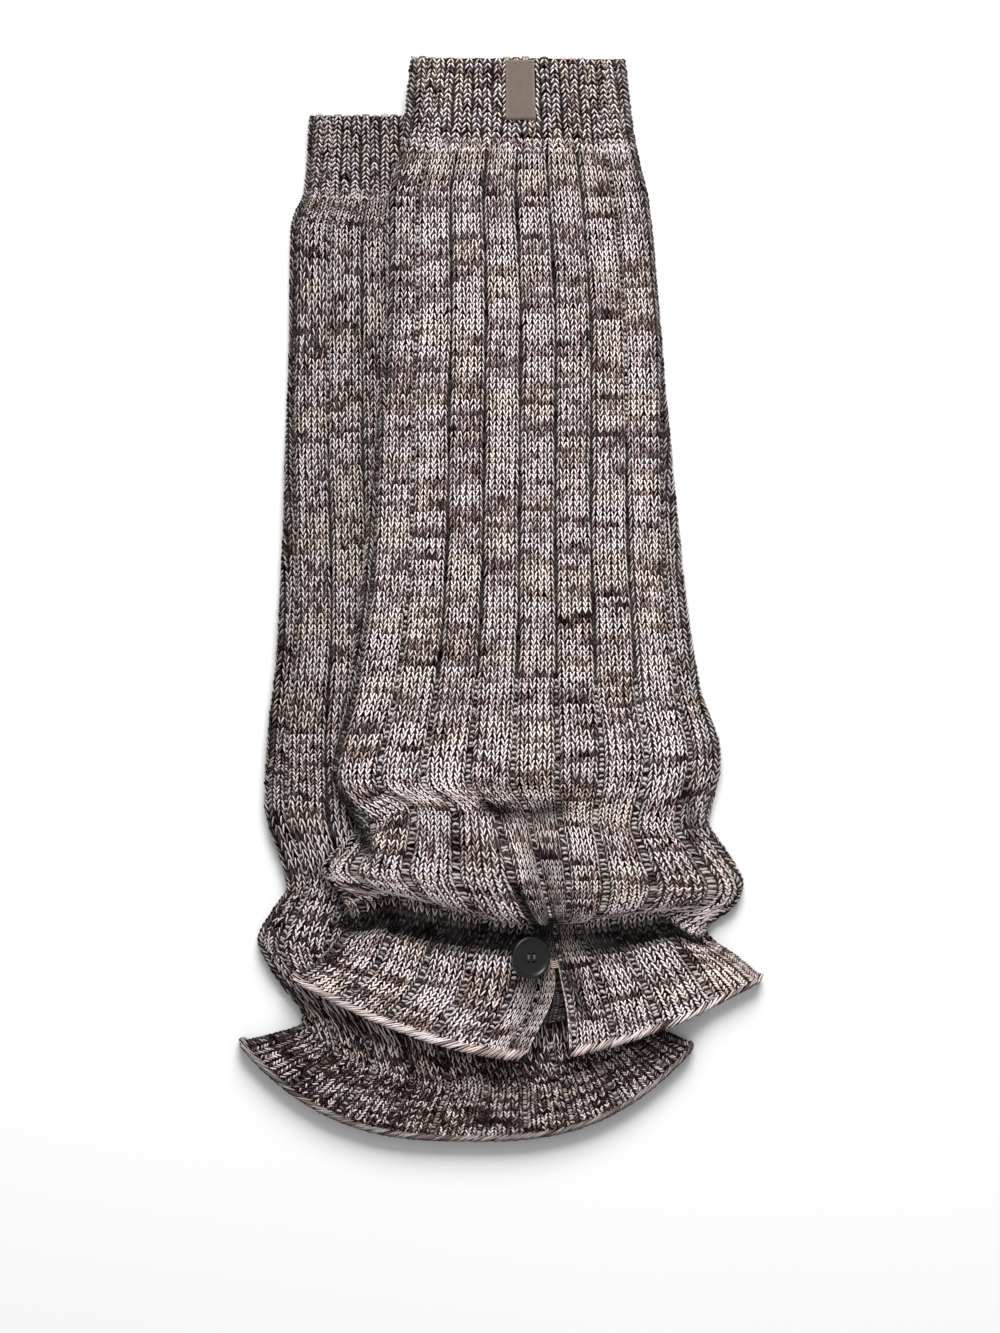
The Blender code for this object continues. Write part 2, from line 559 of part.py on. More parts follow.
def make_button_thread(warmer, finish):
    """The shank of thread between the button and the cloth under its middle."""
    cloth = upper_panel(warmer, np.array([[THREAD_ALONG]]), np.array([[THREAD_AT]]))[0, 0]
    foot = cloth[2] + HALF_WALL + RIB_HEIGHT + SEAM_GAP
    back = BUTTON_Z - BUTTON_THICK / 2 / math.cos(BUTTON_TILT)
    head = back - SEAM_GAP - THREAD_RADIUS * math.tan(BUTTON_TILT)
    half = (head - foot) / 2
    profile = ((0.0, half), (THREAD_RADIUS, half), (THREAD_WAIST, 0.0), (THREAD_RADIUS, -half), (0.0, -half))
    thread = add_object("front_button_thread", lathe("front_button_thread", profile, THREAD_SIDES), finish)
    thread.location = (BUTTON_X * MM, BUTTON_Y * MM, (foot + head) / 2 * MM)
    return thread


def clear_scene():
    for item in list(bpy.data.objects):
        bpy.data.objects.remove(item, do_unlink=True)


def centre_pair():
    for item in bpy.data.objects:
        item.location.x -= MIDDLE_X * MM


def main():
    clear_scene()
    front, rear = WARMERS["front"], WARMERS["rear"]
    front_yarn = material("front_knit", YARN, 0.9)
    rear_yarn = material("rear_knit", REAR_YARN, 0.9)
    hem_yarn = material("hem_knit", HEM_YARN, 0.9)
    make_cuff("rear", rear, rear_yarn)
    make_leg("rear", rear, REAR_STEPS, rear_yarn, slit=False)
    make_hem("rear", rear, hem_yarn, slit=False)
    make_cuff("front", front, front_yarn)
    make_leg("front", front, FRONT_STEPS, front_yarn, slit=True)
    make_hem("front", front, hem_yarn, slit=True)
    make_label(front, material("label_twill", LABEL_CLOTH, 0.7))
    make_button(material("button_resin", BUTTON_RESIN, 0.4))
    make_button_thread(front, material("sewing_thread", THREAD, 0.8))
    centre_pair()


main()
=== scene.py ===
"""A pair of ribbed knit leg warmers laid flat, one over the other, dressed as the real ones.

Each warmer is a cloth shell that carries its yarn, with painted shade on it under the yarn: every stitch on
the faces that show is two legs of marl yarn, and the sunk columns between the ribs have the crossing arcs
of the knit's other face.
Sizes are in millimetres unless a name says otherwise. x and y are in plan, with +Y up the leg.
"""

import math
from collections import namedtuple

import bmesh
import bpy
import numpy as np
from bpy.props import FloatProperty, FloatVectorProperty, PointerProperty
from bpy.types import Operator, Panel, PropertyGroup
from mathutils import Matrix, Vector


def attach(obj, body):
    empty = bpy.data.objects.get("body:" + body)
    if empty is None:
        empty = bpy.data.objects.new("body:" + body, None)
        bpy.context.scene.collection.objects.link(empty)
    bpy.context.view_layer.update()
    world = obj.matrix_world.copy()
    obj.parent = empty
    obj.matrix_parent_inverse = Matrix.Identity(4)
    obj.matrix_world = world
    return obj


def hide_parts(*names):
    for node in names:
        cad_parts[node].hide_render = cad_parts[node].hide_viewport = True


bl_info = {
    "name": "Ribbed leg warmers",
    "version": (1, 0, 0),
    "blender": (4, 5, 0),
    "location": "3D View > Sidebar > Leg warmers",
    "description": "Models a pair of ribbed knit leg warmers, laid flat one over the other",
    "category": "Add Mesh",
}

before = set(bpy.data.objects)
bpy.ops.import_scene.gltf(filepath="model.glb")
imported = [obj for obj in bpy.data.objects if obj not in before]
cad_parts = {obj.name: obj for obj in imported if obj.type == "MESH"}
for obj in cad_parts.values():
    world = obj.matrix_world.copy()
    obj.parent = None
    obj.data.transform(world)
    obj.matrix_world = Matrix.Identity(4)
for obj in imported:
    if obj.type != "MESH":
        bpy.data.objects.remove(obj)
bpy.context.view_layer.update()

MM = 0.001
MIDDLE_X = 0.65  # the middle of the pair, as its rows are set out below

# Cloth
HALF_WALL = 0.9
SIDE_TURN = 2.0  # radius of the cloth's middle where a tube folds over at its sides
PANEL_SINK = 1.2  # how much lower the upper panel lies away from its sides, and over which stretch
SINK_FROM, SINK_TO = 2.0, 16.0
PROBE, PLACE_PROBE = 0.4, 0.004  # steps along the cloth and round it over which its direction is read

# Parts of a warmer, measured along the cloth from the edge of the cuff
CUFF_LENGTH = 40.0
CLOTH_LENGTH = 472.0
HEM_WIDTH = 4.0
HEM_START = CLOTH_LENGTH - HEM_WIDTH
FLARE_FROM, FLARE_REACH = 440.0, 26.0  # where the upper panel comes out of its sink again
YARN_FROM = 36.4  # the leg's yarn starts a little under the cuff and ends a little under the rolled edge
YARN_PAST = 1.6

# How the front warmer rests on the rear one
STACK_HEIGHT = 6.95
STACK_TOP, STACK_TOP_EDGE = 200.0, 20.0
STACK_FOOT, STACK_FOOT_EDGE = -160.0, 72.0
STACK_SLOPE = 22.0
CORNER_X, CORNER_Y = -84.0, -163.0
CORNER_RISE, CORNER_REACH = 3.0, 22.0

# The rolled edge: down it from its first row, how thick half of it is
HEM_ROLL = ((0.0, 0.9), (0.7, 1.38), (2.0, 1.5), (3.3, 1.38), (4.0, 0.72))
ROLL_SINK, ROLL_SINK_REACH = 0.45, 0.7  # how deep its ground lies under its strands

# The tuck under the fold at the foot, in which the ribs are flatter
TUCK_ALONG, TUCK_REACH = 407.0, 14.0
TUCK_FLATTENS = 0.8

# The slit in the front hem: where it starts, its place across and half its width there, where its two edges
# lie at the hem, and the wale that it parts
SLIT_ALONG = 431.0
SLIT_AT = 0.14
SLIT_HAIR = 0.006
SLIT_LEFT, SLIT_RIGHT = 0.0, 0.18
SLIT_WALE = 28.5

# How much shorter the lower panel is behind the slit
BACK_SHORT, BACK_SHORT_WIDTH = 17.0, 0.5
BACK_SHORT_FROM = 415.0

# The label: its places across the cuff and down it, its height over the cloth, and the stitches at each end
LABEL_LEFT, LABEL_RIGHT = -0.12, 0.16
LABEL_TOP, LABEL_FOOT = 0.6, 28.0
LABEL_UNDER, LABEL_OVER = 1.55, 2.2
LABEL_STITCHES = 9

# The button: its middle, its lean, and the steps of its face and its back, as insets and rises
BUTTON_X, BUTTON_Y, BUTTON_Z = 14.0, -160.6, 18.1
BUTTON_TILT = math.radians(27.0)
BUTTON_RADIUS, BUTTON_DEPTH = 9.5, 2.2
FACE_STEPS = ((0.5, 0.3), (0.8, 0.0), (0.45, -0.5), (1.0, -0.35), (2.2, -0.15))
BACK_STEPS = ((0.7, -0.25), (2.0, -0.05))
HOLE_RADIUS, HOLE_REACH, HOLES = 0.95, 2.0, 4

# The button's thread: bars of three strands through its holes, and a shank down to the cloth
BAR_HEIGHT, BAR_FOOT, BAR_GAP = 0.95, -1.6, 0.33
SHANK_STRANDS, SHANK_RADIUS, SHANK_TWIST = 9, 0.95, 1.6
THREAD_ALONG, THREAD_AT = 435.0, 0.03

# Shade on the yarn: in creases, round the side folds, in the tuck, where the tuck runs out beside the
# button, and in the bunched rows above it
CREASE_SHADE = 0.32
SIDE_SHADE, SIDE_FROM, SIDE_REACH = 0.36, 0.93, 0.1
TUCK_SHADE, SHADE_ALONG, SHADE_REACH = 0.93, 421.5, 6.2
MERGED_SHADE, TUCK_MERGES, MERGE_REACH = 0.6, 28.0, 11.0
BUNCH_SHADE, BUNCH_ALONG, BUNCH_REACH = 0.12, 375.0, 38.0

# Wales, the columns of stitches: a rib of the leg has five knit ones and a purl one, which lies in the
# valley, and a rib of the cuff has one of each.
PANEL_WALES = 48
RIB_WALES = 6
CUFF_PANEL_WALES = 46
CUFF_RIB_WALES = 2
LEG_YARN_WALES, CUFF_YARN_WALES = (-15, 58), (-3, 50)
LEG_LAST_WALE, CUFF_LAST_WALE = 51.5, 49.0  # past them the ground has no yarn and shows its own stitches
YARN_TO = 1.85  # the last place round the tube that has yarn
NARROWEST_WALE = 1.0
FOLD_ARC = math.pi * SIDE_TURN

# The stage, in metres: a soft lamp above the cuffs, light all round, and the camera straight above
LAMP_AT, LAMP_SIZE, LAMP_POWER = (0.15, 1.45, 1.15), 1.1, 52.0
WORLD_LIGHT = 0.45
CAMERA_AT = (-0.00043, -0.0299, 3.341)

# The rows of each warmer: how far along the cloth, where its two sides lie, how far its middle dips towards
# the hem, and at three places across how far the upper panel is lifted and how far it leans to the cuff
COLUMNS = (
    "along", "left_x", "left_y", "right_x", "right_y", "dip",
    "lift_left", "lift_mid", "lift_right", "lean_left", "lean_mid", "lean_right",
)
FRONT_ROWS = (
    (0.0, -40.0, 243.5, 56.5, 243.5, 0.0, 0.0, 0.0, 0.0, 0.0, 0.0, 0.0),  # cuff edge
    (40.0, -44.0, 204.0, 61.5, 204.0, 0.0, 0.0, 0.0, 0.0, 0.0, 0.0, 0.0),  # cuff seam
    (64.0, -50.0, 180.0, 67.0, 180.0, 0.0, 0.0, 0.0, 0.0, 0.0, 0.0, 0.0),  # shoulder
    (109.0, -50.5, 135.0, 71.5, 135.0, 0.0, 0.0, 0.0, 0.0, 0.0, 0.0, 0.0),
    (154.0, -54.0, 90.0, 75.0, 90.0, 0.0, 0.0, 0.0, 0.0, 0.0, 0.0, 0.0),
    (199.0, -58.0, 45.0, 79.0, 45.0, 0.0, 0.0, 0.0, 0.0, 0.0, 0.0, 0.0),
    (244.0, -62.5, 0.0, 84.0, 0.0, 0.0, 0.0, 0.0, 0.0, 0.0, 0.0, 0.0),
    (285.0, -67.5, -41.0, 90.0, -40.0, 1.0, 0.5, 0.0, 1.0, 0.0, 0.0, 0.0),
    (320.0, -75.0, -79.0, 99.5, -72.0, 2.0, 3.5, 3.0, 4.5, 0.0, 0.0, 0.0),  # full part of the leg
    (345.0, -63.5, -102.0, 94.0, -100.0, -2.0, 2.6, 0.0, 2.2, 7.0, 3.0, -2.0),  # valley
    (362.0, -71.0, -112.0, 102.0, -114.0, 1.0, 7.0, 9.0, 8.0, 3.0, 0.0, -1.0),
    (378.0, -79.5, -121.0, 109.5, -128.0, 3.0, 9.5, 12.0, 10.5, 0.0, -1.0, 0.0),  # crest of the fold
    (390.0, -77.5, -125.0, 107.5, -134.0, 5.0, 8.6, 11.2, 9.6, 0.5, -4.6, 1.0),
    (399.0, -74.0, -129.0, 103.0, -139.0, 7.0, 5.6, 8.0, 6.6, 2.5, -2.6, 3.0),  # nose of the fold
    (404.0, -71.5, -132.0, 97.5, -143.0, 8.0, 3.8, 4.8, 4.2, 5.5, 0.5, 7.0),  # under the nose
    (408.0, -69.5, -135.0, 94.0, -146.5, 8.8, 2.2, 2.6, 2.4, 8.5, 6.0, 10.0),  # inmost tuck
    (412.0, -69.0, -138.0, 93.0, -149.0, 10.5, 0.4, 0.4, 0.4, 10.0, 9.0, 11.5),
    (422.0, -70.5, -146.0, 96.0, -153.5, 17.0, 0.0, 0.0, 0.0, 8.0, 12.0, 10.0),
    (446.0, -78.5, -160.5, 108.5, -163.0, 27.0, 1.2, 0.0, 0.8, 3.0, 7.5, 4.0),
    (472.0, -95.0, -171.5, 119.5, -172.5, 35.5, 0.4, 0.4, 0.4, 0.0, 0.0, 0.0),  # hem
)
REAR_ROWS = (
    (0.0, -85.5, 218.0, 11.5, 218.0, 0.0, 0.0, 0.0, 0.0, 0.0, 0.0, 0.0),  # cuff edge
    (40.0, -88.0, 183.0, 17.0, 180.0, 0.0, 0.0, 0.0, 0.0, 0.0, 0.0, 0.0),  # cuff seam
    (64.0, -93.5, 168.0, 23.0, 157.0, 0.0, 0.0, 0.0, 0.0, 0.0, 0.0, 0.0),  # shoulder
    (109.0, -94.5, 113.0, 27.0, 113.0, 0.0, 0.0, 0.0, 0.0, 0.0, 0.0, 0.0),
    (154.0, -96.0, 68.0, 30.0, 68.0, 0.0, 0.0, 0.0, 0.0, 0.0, 0.0, 0.0),
    (199.0, -97.5, 23.0, 34.0, 23.0, 0.0, 0.0, 0.0, 0.0, 0.0, 0.0, 0.0),
    (244.0, -100.0, -22.0, 39.0, -22.0, 0.0, 0.0, 0.0, 0.0, 0.0, 0.0, 0.0),
    (285.0, -104.5, -66.0, 46.0, -66.0, 1.0, 0.5, 0.0, 0.0, 0.0, 0.0, 0.0),
    (320.0, -105.5, -92.0, 54.0, -98.0, 2.0, 2.0, 0.0, 0.0, 0.0, 0.0, 0.0),  # full part of the leg
    (345.0, -95.5, -128.5, 48.0, -128.0, 2.0, 0.4, 0.0, 0.0, 2.0, 0.0, 0.0),  # valley
    (362.0, -102.0, -141.0, 58.0, -141.0, 3.0, 3.5, 0.0, 0.0, 1.0, 0.0, 0.0),
    (378.0, -108.5, -153.0, 66.0, -154.0, 5.0, 6.0, 0.0, 0.0, -1.5, 0.0, 0.0),  # crest of the fold
    (390.0, -105.5, -160.5, 64.0, -163.0, 8.0, 5.0, 0.0, 0.0, -1.0, 0.0, 0.0),
    (399.0, -99.5, -170.5, 61.0, -172.0, 12.0, 1.5, 0.0, 0.0, 0.0, 0.0, 0.0),
    (409.0, -88.5, -186.5, 62.0, -187.0, 17.0, 0.3, 0.0, 0.0, 0.0, 0.0, 0.0),  # inmost tuck
    (422.0, -89.5, -192.5, 69.0, -193.5, 23.0, 0.0, 0.0, 0.0, 0.0, 0.0, 0.0),
    (446.0, -103.0, -197.5, 79.0, -198.5, 31.0, 0.8, 0.0, 0.0, 0.0, 0.0, 0.0),
    (472.0, -119.5, -201.5, 89.5, -203.0, 41.5, 0.4, 0.4, 0.4, 0.0, 0.0, 0.0),  # hem
)
FRONT_PLACES = (-1.0, -0.76, 0.0, 0.76, 1.0)
REAR_PLACES = (-1.0, -0.86, -0.62, 0.5, 1.0)

# Gathers and creases: from_x, from_y, to_x, to_y, height (a trough is below nothing), half_width
FRONT_GATHERS = (
    (-44.0, -74.0, 12.0, -132.0, 4.4, 9.0),  # the ridge that runs down to the button
    (-13.0, -93.0, 10.0, -98.0, -3.4, 4.0),
    (10.0, -98.0, 34.0, -93.0, -2.6, 4.0),
    (4.0, -124.0, 20.0, -151.0, -4.0, 2.4),  # the pleat beside the button
    (12.0, -122.0, 28.0, -157.0, 3.0, 3.6),
    (-74.0, -82.0, -56.0, -118.0, -4.4, 3.0),  # the crease where the left side folds over
    (-62.0, -104.0, -58.0, -120.0, -1.5, 3.0),
    (83.0, -80.0, 89.0, -116.0, -2.8, 2.6),
    (-67.0, -142.0, -88.0, -168.0, 2.2, 5.0),
    (2.0, -164.0, -14.0, -192.0, 1.6, 6.0),
    (29.0, -164.0, 41.0, -192.0, -3.0, 2.2),  # the crease beside the slit
    (38.0, -166.0, 62.0, -186.0, 1.6, 6.0),
)
REAR_GATHERS = (
    (-100.0, -134.0, -92.0, -168.0, 1.2, 5.0),
    (-84.0, -190.0, -92.0, -214.0, 1.2, 5.0),
)
GATHER_TAPER, GATHER_PAST = 0.45, 0.1
GATHER_CLEAR = 14.0  # how far from the sides a gather has its whole height

# How the wales lie: along, share of an even spread, slide aside in u, and how far the purl wale is closed
FRONT_SPREAD = (
    (0.0, 1.064, -0.018, 0.58),
    (109.0, 1.064, -0.018, 0.58),
    (244.0, 0.95, -0.028, 0.56),
    (300.0, 0.95, -0.06, 0.42),
    (330.0, 0.95, -0.08, 0.15),
    (362.0, 1.0, -0.06, -0.1),
    (395.0, 1.07, -0.044, -0.15),
    (407.0, 1.0, -0.035, -0.05),
    (425.0, 0.915, -0.031, 0.1),
    (472.0, 0.915, -0.031, 0.2),
)
REAR_SPREAD = (
    (0.0, 1.06, 0.045, 0.68),
    (109.0, 1.06, 0.045, 0.68),
    (244.0, 0.97, 0.045, 0.66),
    (320.0, 0.96, 0.045, 0.55),
    (395.0, 0.95, 0.045, 0.2),
    (425.0, 0.87, 0.05, 0.3),
    (472.0, 0.86, 0.05, 0.3),
)
CUFF_PULL = 0.8
CLOSED_PULL, OPEN_FROM = 0.5, 0.74  # a purl wale closed by more shows no yarn, up to this place across

# How the front warmer's wales bunch towards the button: how much by row, and how far aside by place
BUNCH_ROWS = (
    (0.0, 0.0), (325.0, 0.0), (345.0, 0.27), (362.0, 0.48), (378.0, 0.68), (395.0, 0.9), (405.0, 1.0),
    (415.0, 0.9), (430.0, 0.55), (472.0, 0.45),
)
BUNCH = (
    (-4.0, 0.32), (-1.0, 0.32), (-0.75, 0.31), (-0.5, 0.30), (-0.25, 0.33), (0.0, 0.15), (0.25, -0.05),
    (0.5, -0.16), (0.75, -0.20), (1.0, -0.16), (2.0, 0.0), (6.0, 0.0),
)

# Each warmer's shape, then how its yarn is made and how it looks: how far it goes on under the front one,
# its spans across, where its yarn is cut into pieces, its seed, its place in the dye's pattern, the painted
# light and shade of its cuff, leg and hem, how lively its colour is, and the course from which a painted
# shadow darkens it
WARMERS = {
    "front": {
        "rows": FRONT_ROWS, "places": FRONT_PLACES, "gathers": FRONT_GATHERS, "spread": FRONT_SPREAD,
        "bow": 1.7, "stacked": True, "hidden_under": None,
        "spans": 132, "cuts": (0.36, 0.68), "seed": 100, "dye": 5.0,
        "cuff_light": 1.2, "leg_light": 1.14, "hem_light": 1.14, "lively": 0.55, "shadowed_from": None,
    },
    "rear": {
        "rows": REAR_ROWS, "places": REAR_PLACES, "gathers": REAR_GATHERS, "spread": REAR_SPREAD,
        "bow": 2.8, "stacked": False, "hidden_under": 14.0,
        "spans": 104, "cuts": (0.6,), "seed": 200, "dye": 41.0,
        "cuff_light": 0.95, "leg_light": 0.94, "hem_light": 0.47, "lively": 1.0, "shadowed_from": 140.0,
    },
}


def steady_slopes(knots, values):
    """Slopes at the knots of a smooth curve through the values that never overshoots them."""
    widths = np.diff(knots)
    rises = np.diff(values) / widths
    slopes = np.zeros(len(knots))
    slopes[0], slopes[-1] = rises[0], rises[-1]
    for i in range(1, len(knots) - 1):
        before, after = rises[i - 1], rises[i]
        if before * after > 0:
            heavy = 2 * widths[i] + widths[i - 1]
            light = widths[i] + 2 * widths[i - 1]
            slopes[i] = (heavy + light) / (heavy / before + light / after)
    return slopes


def smooth_curve(knots, values, at):
    """The smooth curve through the values at the knots, read at other places."""
    knots, values, at = np.asarray(knots), np.asarray(values), np.asarray(at)
    slopes = steady_slopes(knots, values)
    i = np.clip(np.searchsorted(knots, at, side="right") - 1, 0, len(knots) - 2)
    width = knots[i + 1] - knots[i]
    t = (at - knots[i]) / width
    start = (1 + 2 * t) * (1 - t) ** 2 * values[i] + t * (1 - t) ** 2 * width * slopes[i]
    end = t * t * (3 - 2 * t) * values[i + 1] + t * t * (t - 1) * width * slopes[i + 1]
    return start + end


def ease(t):
    """0 to 1 with a soft start and end."""
    t = np.clip(t, 0.0, 1.0)
    return t * t * (3 - 2 * t)


def column(rows, name, along):
    """A column of a warmer's rows, read at places along the cloth."""
    table = np.array(rows)
    return smooth_curve(table[:, 0], table[:, COLUMNS.index(name)], along)


def across(places, values, u):
    """Eases from value to value between the places across a panel."""
    total = np.zeros(np.broadcast(values[0], u).shape) + values[0]
    for i in range(len(places) - 1):
        step = ease((u - places[i]) / (places[i + 1] - places[i]))
        total = total + (values[i + 1] - values[i]) * step
    return total


def table_height(warmer, x, y):
    """The height that the underside of a warmer rests at: the table, or the warmer below it."""
    if not warmer["stacked"]:
        return np.zeros(np.shape(x))
    down_the_leg = np.maximum((STACK_TOP - y) / (STACK_TOP - STACK_FOOT), 0.0)
    edge = STACK_TOP_EDGE + (STACK_FOOT_EDGE - STACK_TOP_EDGE) * down_the_leg
    away = np.hypot(x - CORNER_X, y - CORNER_Y) / CORNER_REACH
    return STACK_HEIGHT * (1 - ease((x - edge) / STACK_SLOPE)) + CORNER_RISE * np.exp(-(away**2))


def gather_height(warmer, x, y):
    """The height that the gathers add at a place in plan."""
    total = np.zeros(np.shape(x))
    for from_x, from_y, to_x, to_y, height, half_width in warmer["gathers"]:
        run_x, run_y = to_x - from_x, to_y - from_y
        length = math.hypot(run_x, run_y)
        t = ((x - from_x) * run_x + (y - from_y) * run_y) / length**2
        aside = ((x - from_x) * run_y - (y - from_y) * run_x) / length
        taper = ease((t + GATHER_PAST) / GATHER_TAPER) * ease((1 + GATHER_PAST - t) / GATHER_TAPER)
        total = total + height * taper * np.exp(-((aside / half_width) ** 2))
    return total


def plan(warmer, along, u):
    """The place in plan of a place across a row of cloth."""
    names = ("left_x", "left_y", "right_x", "right_y", "dip")
    left_x, left_y, right_x, right_y, dip = (column(warmer["rows"], name, along) for name in names)
    inset = SIDE_TURN + HALF_WALL
    left_x, right_x = left_x + inset, right_x - inset
    share = (u + 1) / 2
    bow = np.abs(u) ** warmer["bow"]
    return left_x + (right_x - left_x) * share, left_y + (right_y - left_y) * share - dip * (1 - bow)


def sides(warmer, along, name, u):
    """A lift or a lean of the upper panel at a place on a row, nothing at the sides."""
    rows = warmer["rows"]
    left, mid, right = (column(rows, f"{name}_{where}", along) for where in ("left", "mid", "right"))
    none = np.zeros(np.shape(left))
    return across(warmer["places"], (none, left, mid, right, none), u)


def upper_panel(warmer, along, u):
    """The middle of the upper panel's cloth."""
    x, y = plan(warmer, along, u)
    rows = warmer["rows"]
    half_width = (column(rows, "right_x", along) - column(rows, "left_x", along)) / 2
    from_side = (1 - np.abs(u)) * half_width
    sink = PANEL_SINK * ease((from_side - SINK_FROM) / (SINK_TO - SINK_FROM))
    sink = sink * (1 - ease((along - FLARE_FROM) / FLARE_REACH))
    leaned_y = y + sides(warmer, along, "lean", u)
    inside = ease(from_side / GATHER_CLEAR)
    z = table_height(warmer, x, leaned_y) + HALF_WALL + 2 * SIDE_TURN - sink
    z = z + sides(warmer, along, "lift", u) + inside * gather_height(warmer, x, leaned_y)
    return np.stack([x + 0 * z, leaned_y + 0 * z, z], axis=-1)


def lower_panel(warmer, along, u):
    """The middle of the lower panel's cloth."""
    x, y = plan(warmer, along, u)
    if warmer["stacked"]:
        behind = ease(1 - np.abs(u - SLIT_AT) / BACK_SHORT_WIDTH)
        y = y + BACK_SHORT * behind * ease((along - BACK_SHORT_FROM) / (CLOTH_LENGTH - BACK_SHORT_FROM))
    z = table_height(warmer, x, y) + HALF_WALL
    return np.stack([x + 0 * z, y + 0 * z, z], axis=-1)


def side_fold(warmer, along, side, angle):
    """The middle of the cloth where it turns from panel to panel, on the left, -1, or the right, 1."""
    x, y = plan(warmer, along, side)
    before, after = plan(warmer, along - PROBE, side), plan(warmer, along + PROBE, side)
    down_x, down_y = after[0] - before[0], after[1] - before[1]
    reach = side * SIDE_TURN * np.cos(np.radians(angle)) / np.hypot(down_x, down_y)
    z = table_height(warmer, x, y) + HALF_WALL + SIDE_TURN + SIDE_TURN * np.sin(np.radians(angle))
    return np.stack([x - reach * down_y, y + reach * down_x, z + 0 * reach], axis=-1)


def slit_spread(along, u):
    """Where a place across the panel goes to as the slit opens towards the hem."""
    opening = ease((along - SLIT_ALONG) / (CLOTH_LENGTH - SLIT_ALONG))
    left_edge = SLIT_AT - SLIT_HAIR + (SLIT_LEFT - SLIT_AT + SLIT_HAIR) * opening
    right_edge = SLIT_AT + SLIT_HAIR + (SLIT_RIGHT - SLIT_AT - SLIT_HAIR) * opening
    left = -1 + (u + 1) * (left_edge + 1) / (SLIT_AT - SLIT_HAIR + 1)
    right = 1 - (1 - u) * (1 - right_edge) / (1 - SLIT_AT - SLIT_HAIR)
    return np.where(u < SLIT_AT, left, right)


def half_span(warmer, along):
    """Half the width of a panel between its two side folds."""
    rows = warmer["rows"]
    return (column(rows, "right_x", along) - column(rows, "left_x", along)) / 2 - SIDE_TURN - HALF_WALL


# Places round a tube: the left fold from -2 to -1, the upper panel to 1, the right fold to 2 and the lower
# panel to 4, which is -2 again.
def cloth_at(warmer, along, place):
    """The middle of the cloth at places round the tube."""
    along, place = np.broadcast_arrays(np.asarray(along, float), np.asarray(place, float))
    shape = along.shape
    along, place = along.ravel(), place.ravel()
    place = np.where(place < -1, place + 6, place)
    points = np.empty((along.size, 3))
    upper, right = place <= 1, (place > 1) & (place < 2)
    lower, left = (place >= 2) & (place <= 4), place > 4
    u = place[upper]
    if warmer["stacked"]:
        u = slit_spread(along[upper], u)
    points[upper] = upper_panel(warmer, along[upper], u)
    points[right] = side_fold(warmer, along[right], 1, 90 - 180 * (place[right] - 1))
    points[lower] = lower_panel(warmer, along[lower], 3 - place[lower])
    points[left] = side_fold(warmer, along[left], -1, 180 * (place[left] - 4) - 90)
    return points.reshape(*shape, 3)


def spread(warmer, along, panel_wales):
    """How wide the wales lie on a row, how far they have slid aside, and how far purl wales are closed."""
    table = np.array(warmer["spread"])
    wide, slide, pull = (smooth_curve(table[:, 0], table[:, i], along) for i in (1, 2, 3))
    return wide, slide, CUFF_PULL + 0 * pull if panel_wales == CUFF_PANEL_WALES else pull


def bunched(warmer, along, even, panel_wales):
    """How far the wales at an even place across have slid towards the button."""
    if not warmer["stacked"] or panel_wales == CUFF_PANEL_WALES:
        return 0.0 * even
    rows, share = np.array(BUNCH_ROWS).T
    places, aside = np.array(BUNCH).T
    return smooth_curve(rows, share, along) * smooth_curve(places, aside, even)


def rib_of(panel_wales):
    """The wales in a rib of the cuff or of the leg."""
    return CUFF_RIB_WALES if panel_wales == CUFF_PANEL_WALES else RIB_WALES


def drawn_in(wale, rib_wales, pull):
    """Where a wale lies once the purl wales have closed by a share and the knit ones have widened."""
    half = rib_wales / 2
    valley = np.floor((wale + half) / rib_wales) * rib_wales
    aside = np.abs(wale - valley)
    narrow = 0.5 * (1 - pull)
    near = np.minimum(aside, 0.5) * (1 - pull)
    far = np.maximum(aside - 0.5, 0) * (half - narrow) / (half - 0.5)
    return valley + np.sign(wale - valley) * (near + far)


def let_out(lies_at, rib_wales, pull):
    """The wale that lies at a place, the other way round from drawn_in."""
    half = rib_wales / 2
    valley = np.floor((lies_at + half) / rib_wales) * rib_wales
    aside = np.abs(lies_at - valley)
    narrow = 0.5 * (1 - pull)
    near = np.minimum(aside, narrow) / (1 - pull)
    far = np.maximum(aside - narrow, 0) * (half - 0.5) / (half - narrow)
    return valley + np.sign(lies_at - valley) * (near + far)


def lies_across(warmer, along, wale, panel_wales):
    """The place across a panel of a wale on a row, from -1 to 1 and on past them."""
    wide, slide, pull = spread(warmer, along, panel_wales)
    even = 2 * drawn_in(wale, rib_of(panel_wales), pull) / panel_wales - 1
    return slide + even * wide + bunched(warmer, along, even, panel_wales)


def place_of(warmer, along, wale, panel_wales=PANEL_WALES):
    """The place round the tube that a wale has on a row. Wales are counted from the left fold."""
    u = lies_across(warmer, along, wale, panel_wales)
    over = (np.abs(u) - 1) * half_span(warmer, along) / FOLD_ARC
    return np.where(np.abs(u) <= 1, u, np.sign(u) * (1 + over))


def wale_of(warmer, along, place, panel_wales=PANEL_WALES):
    """The wale at a place round the tube."""
    wide, slide, pull = spread(warmer, along, panel_wales)
    fold = FOLD_ARC / half_span(warmer, along)
    right = np.clip(place - 1, 0, 1) * fold + np.clip(place - 2, 0, 2)
    left = np.clip(-1 - place, 0, 1) * fold
    lies = np.clip(place, -1, 1) + right - left - slide
    even = lies / wide
    if warmer["stacked"] and panel_wales == PANEL_WALES:
        low, high = even - 0.5, even + 0.5
        for _ in range(18):
            even = (low + high) / 2
            past = even * wide + bunched(warmer, along, even, panel_wales) > lies
            low, high = np.where(past, low, even), np.where(past, even, high)
    return let_out((1 + even) * panel_wales / 2, rib_of(panel_wales), pull)


def unit(vectors):
    """Vectors of the same directions and of length 1."""
    return vectors / np.maximum(np.linalg.norm(vectors, axis=-1, keepdims=True), 1e-9)


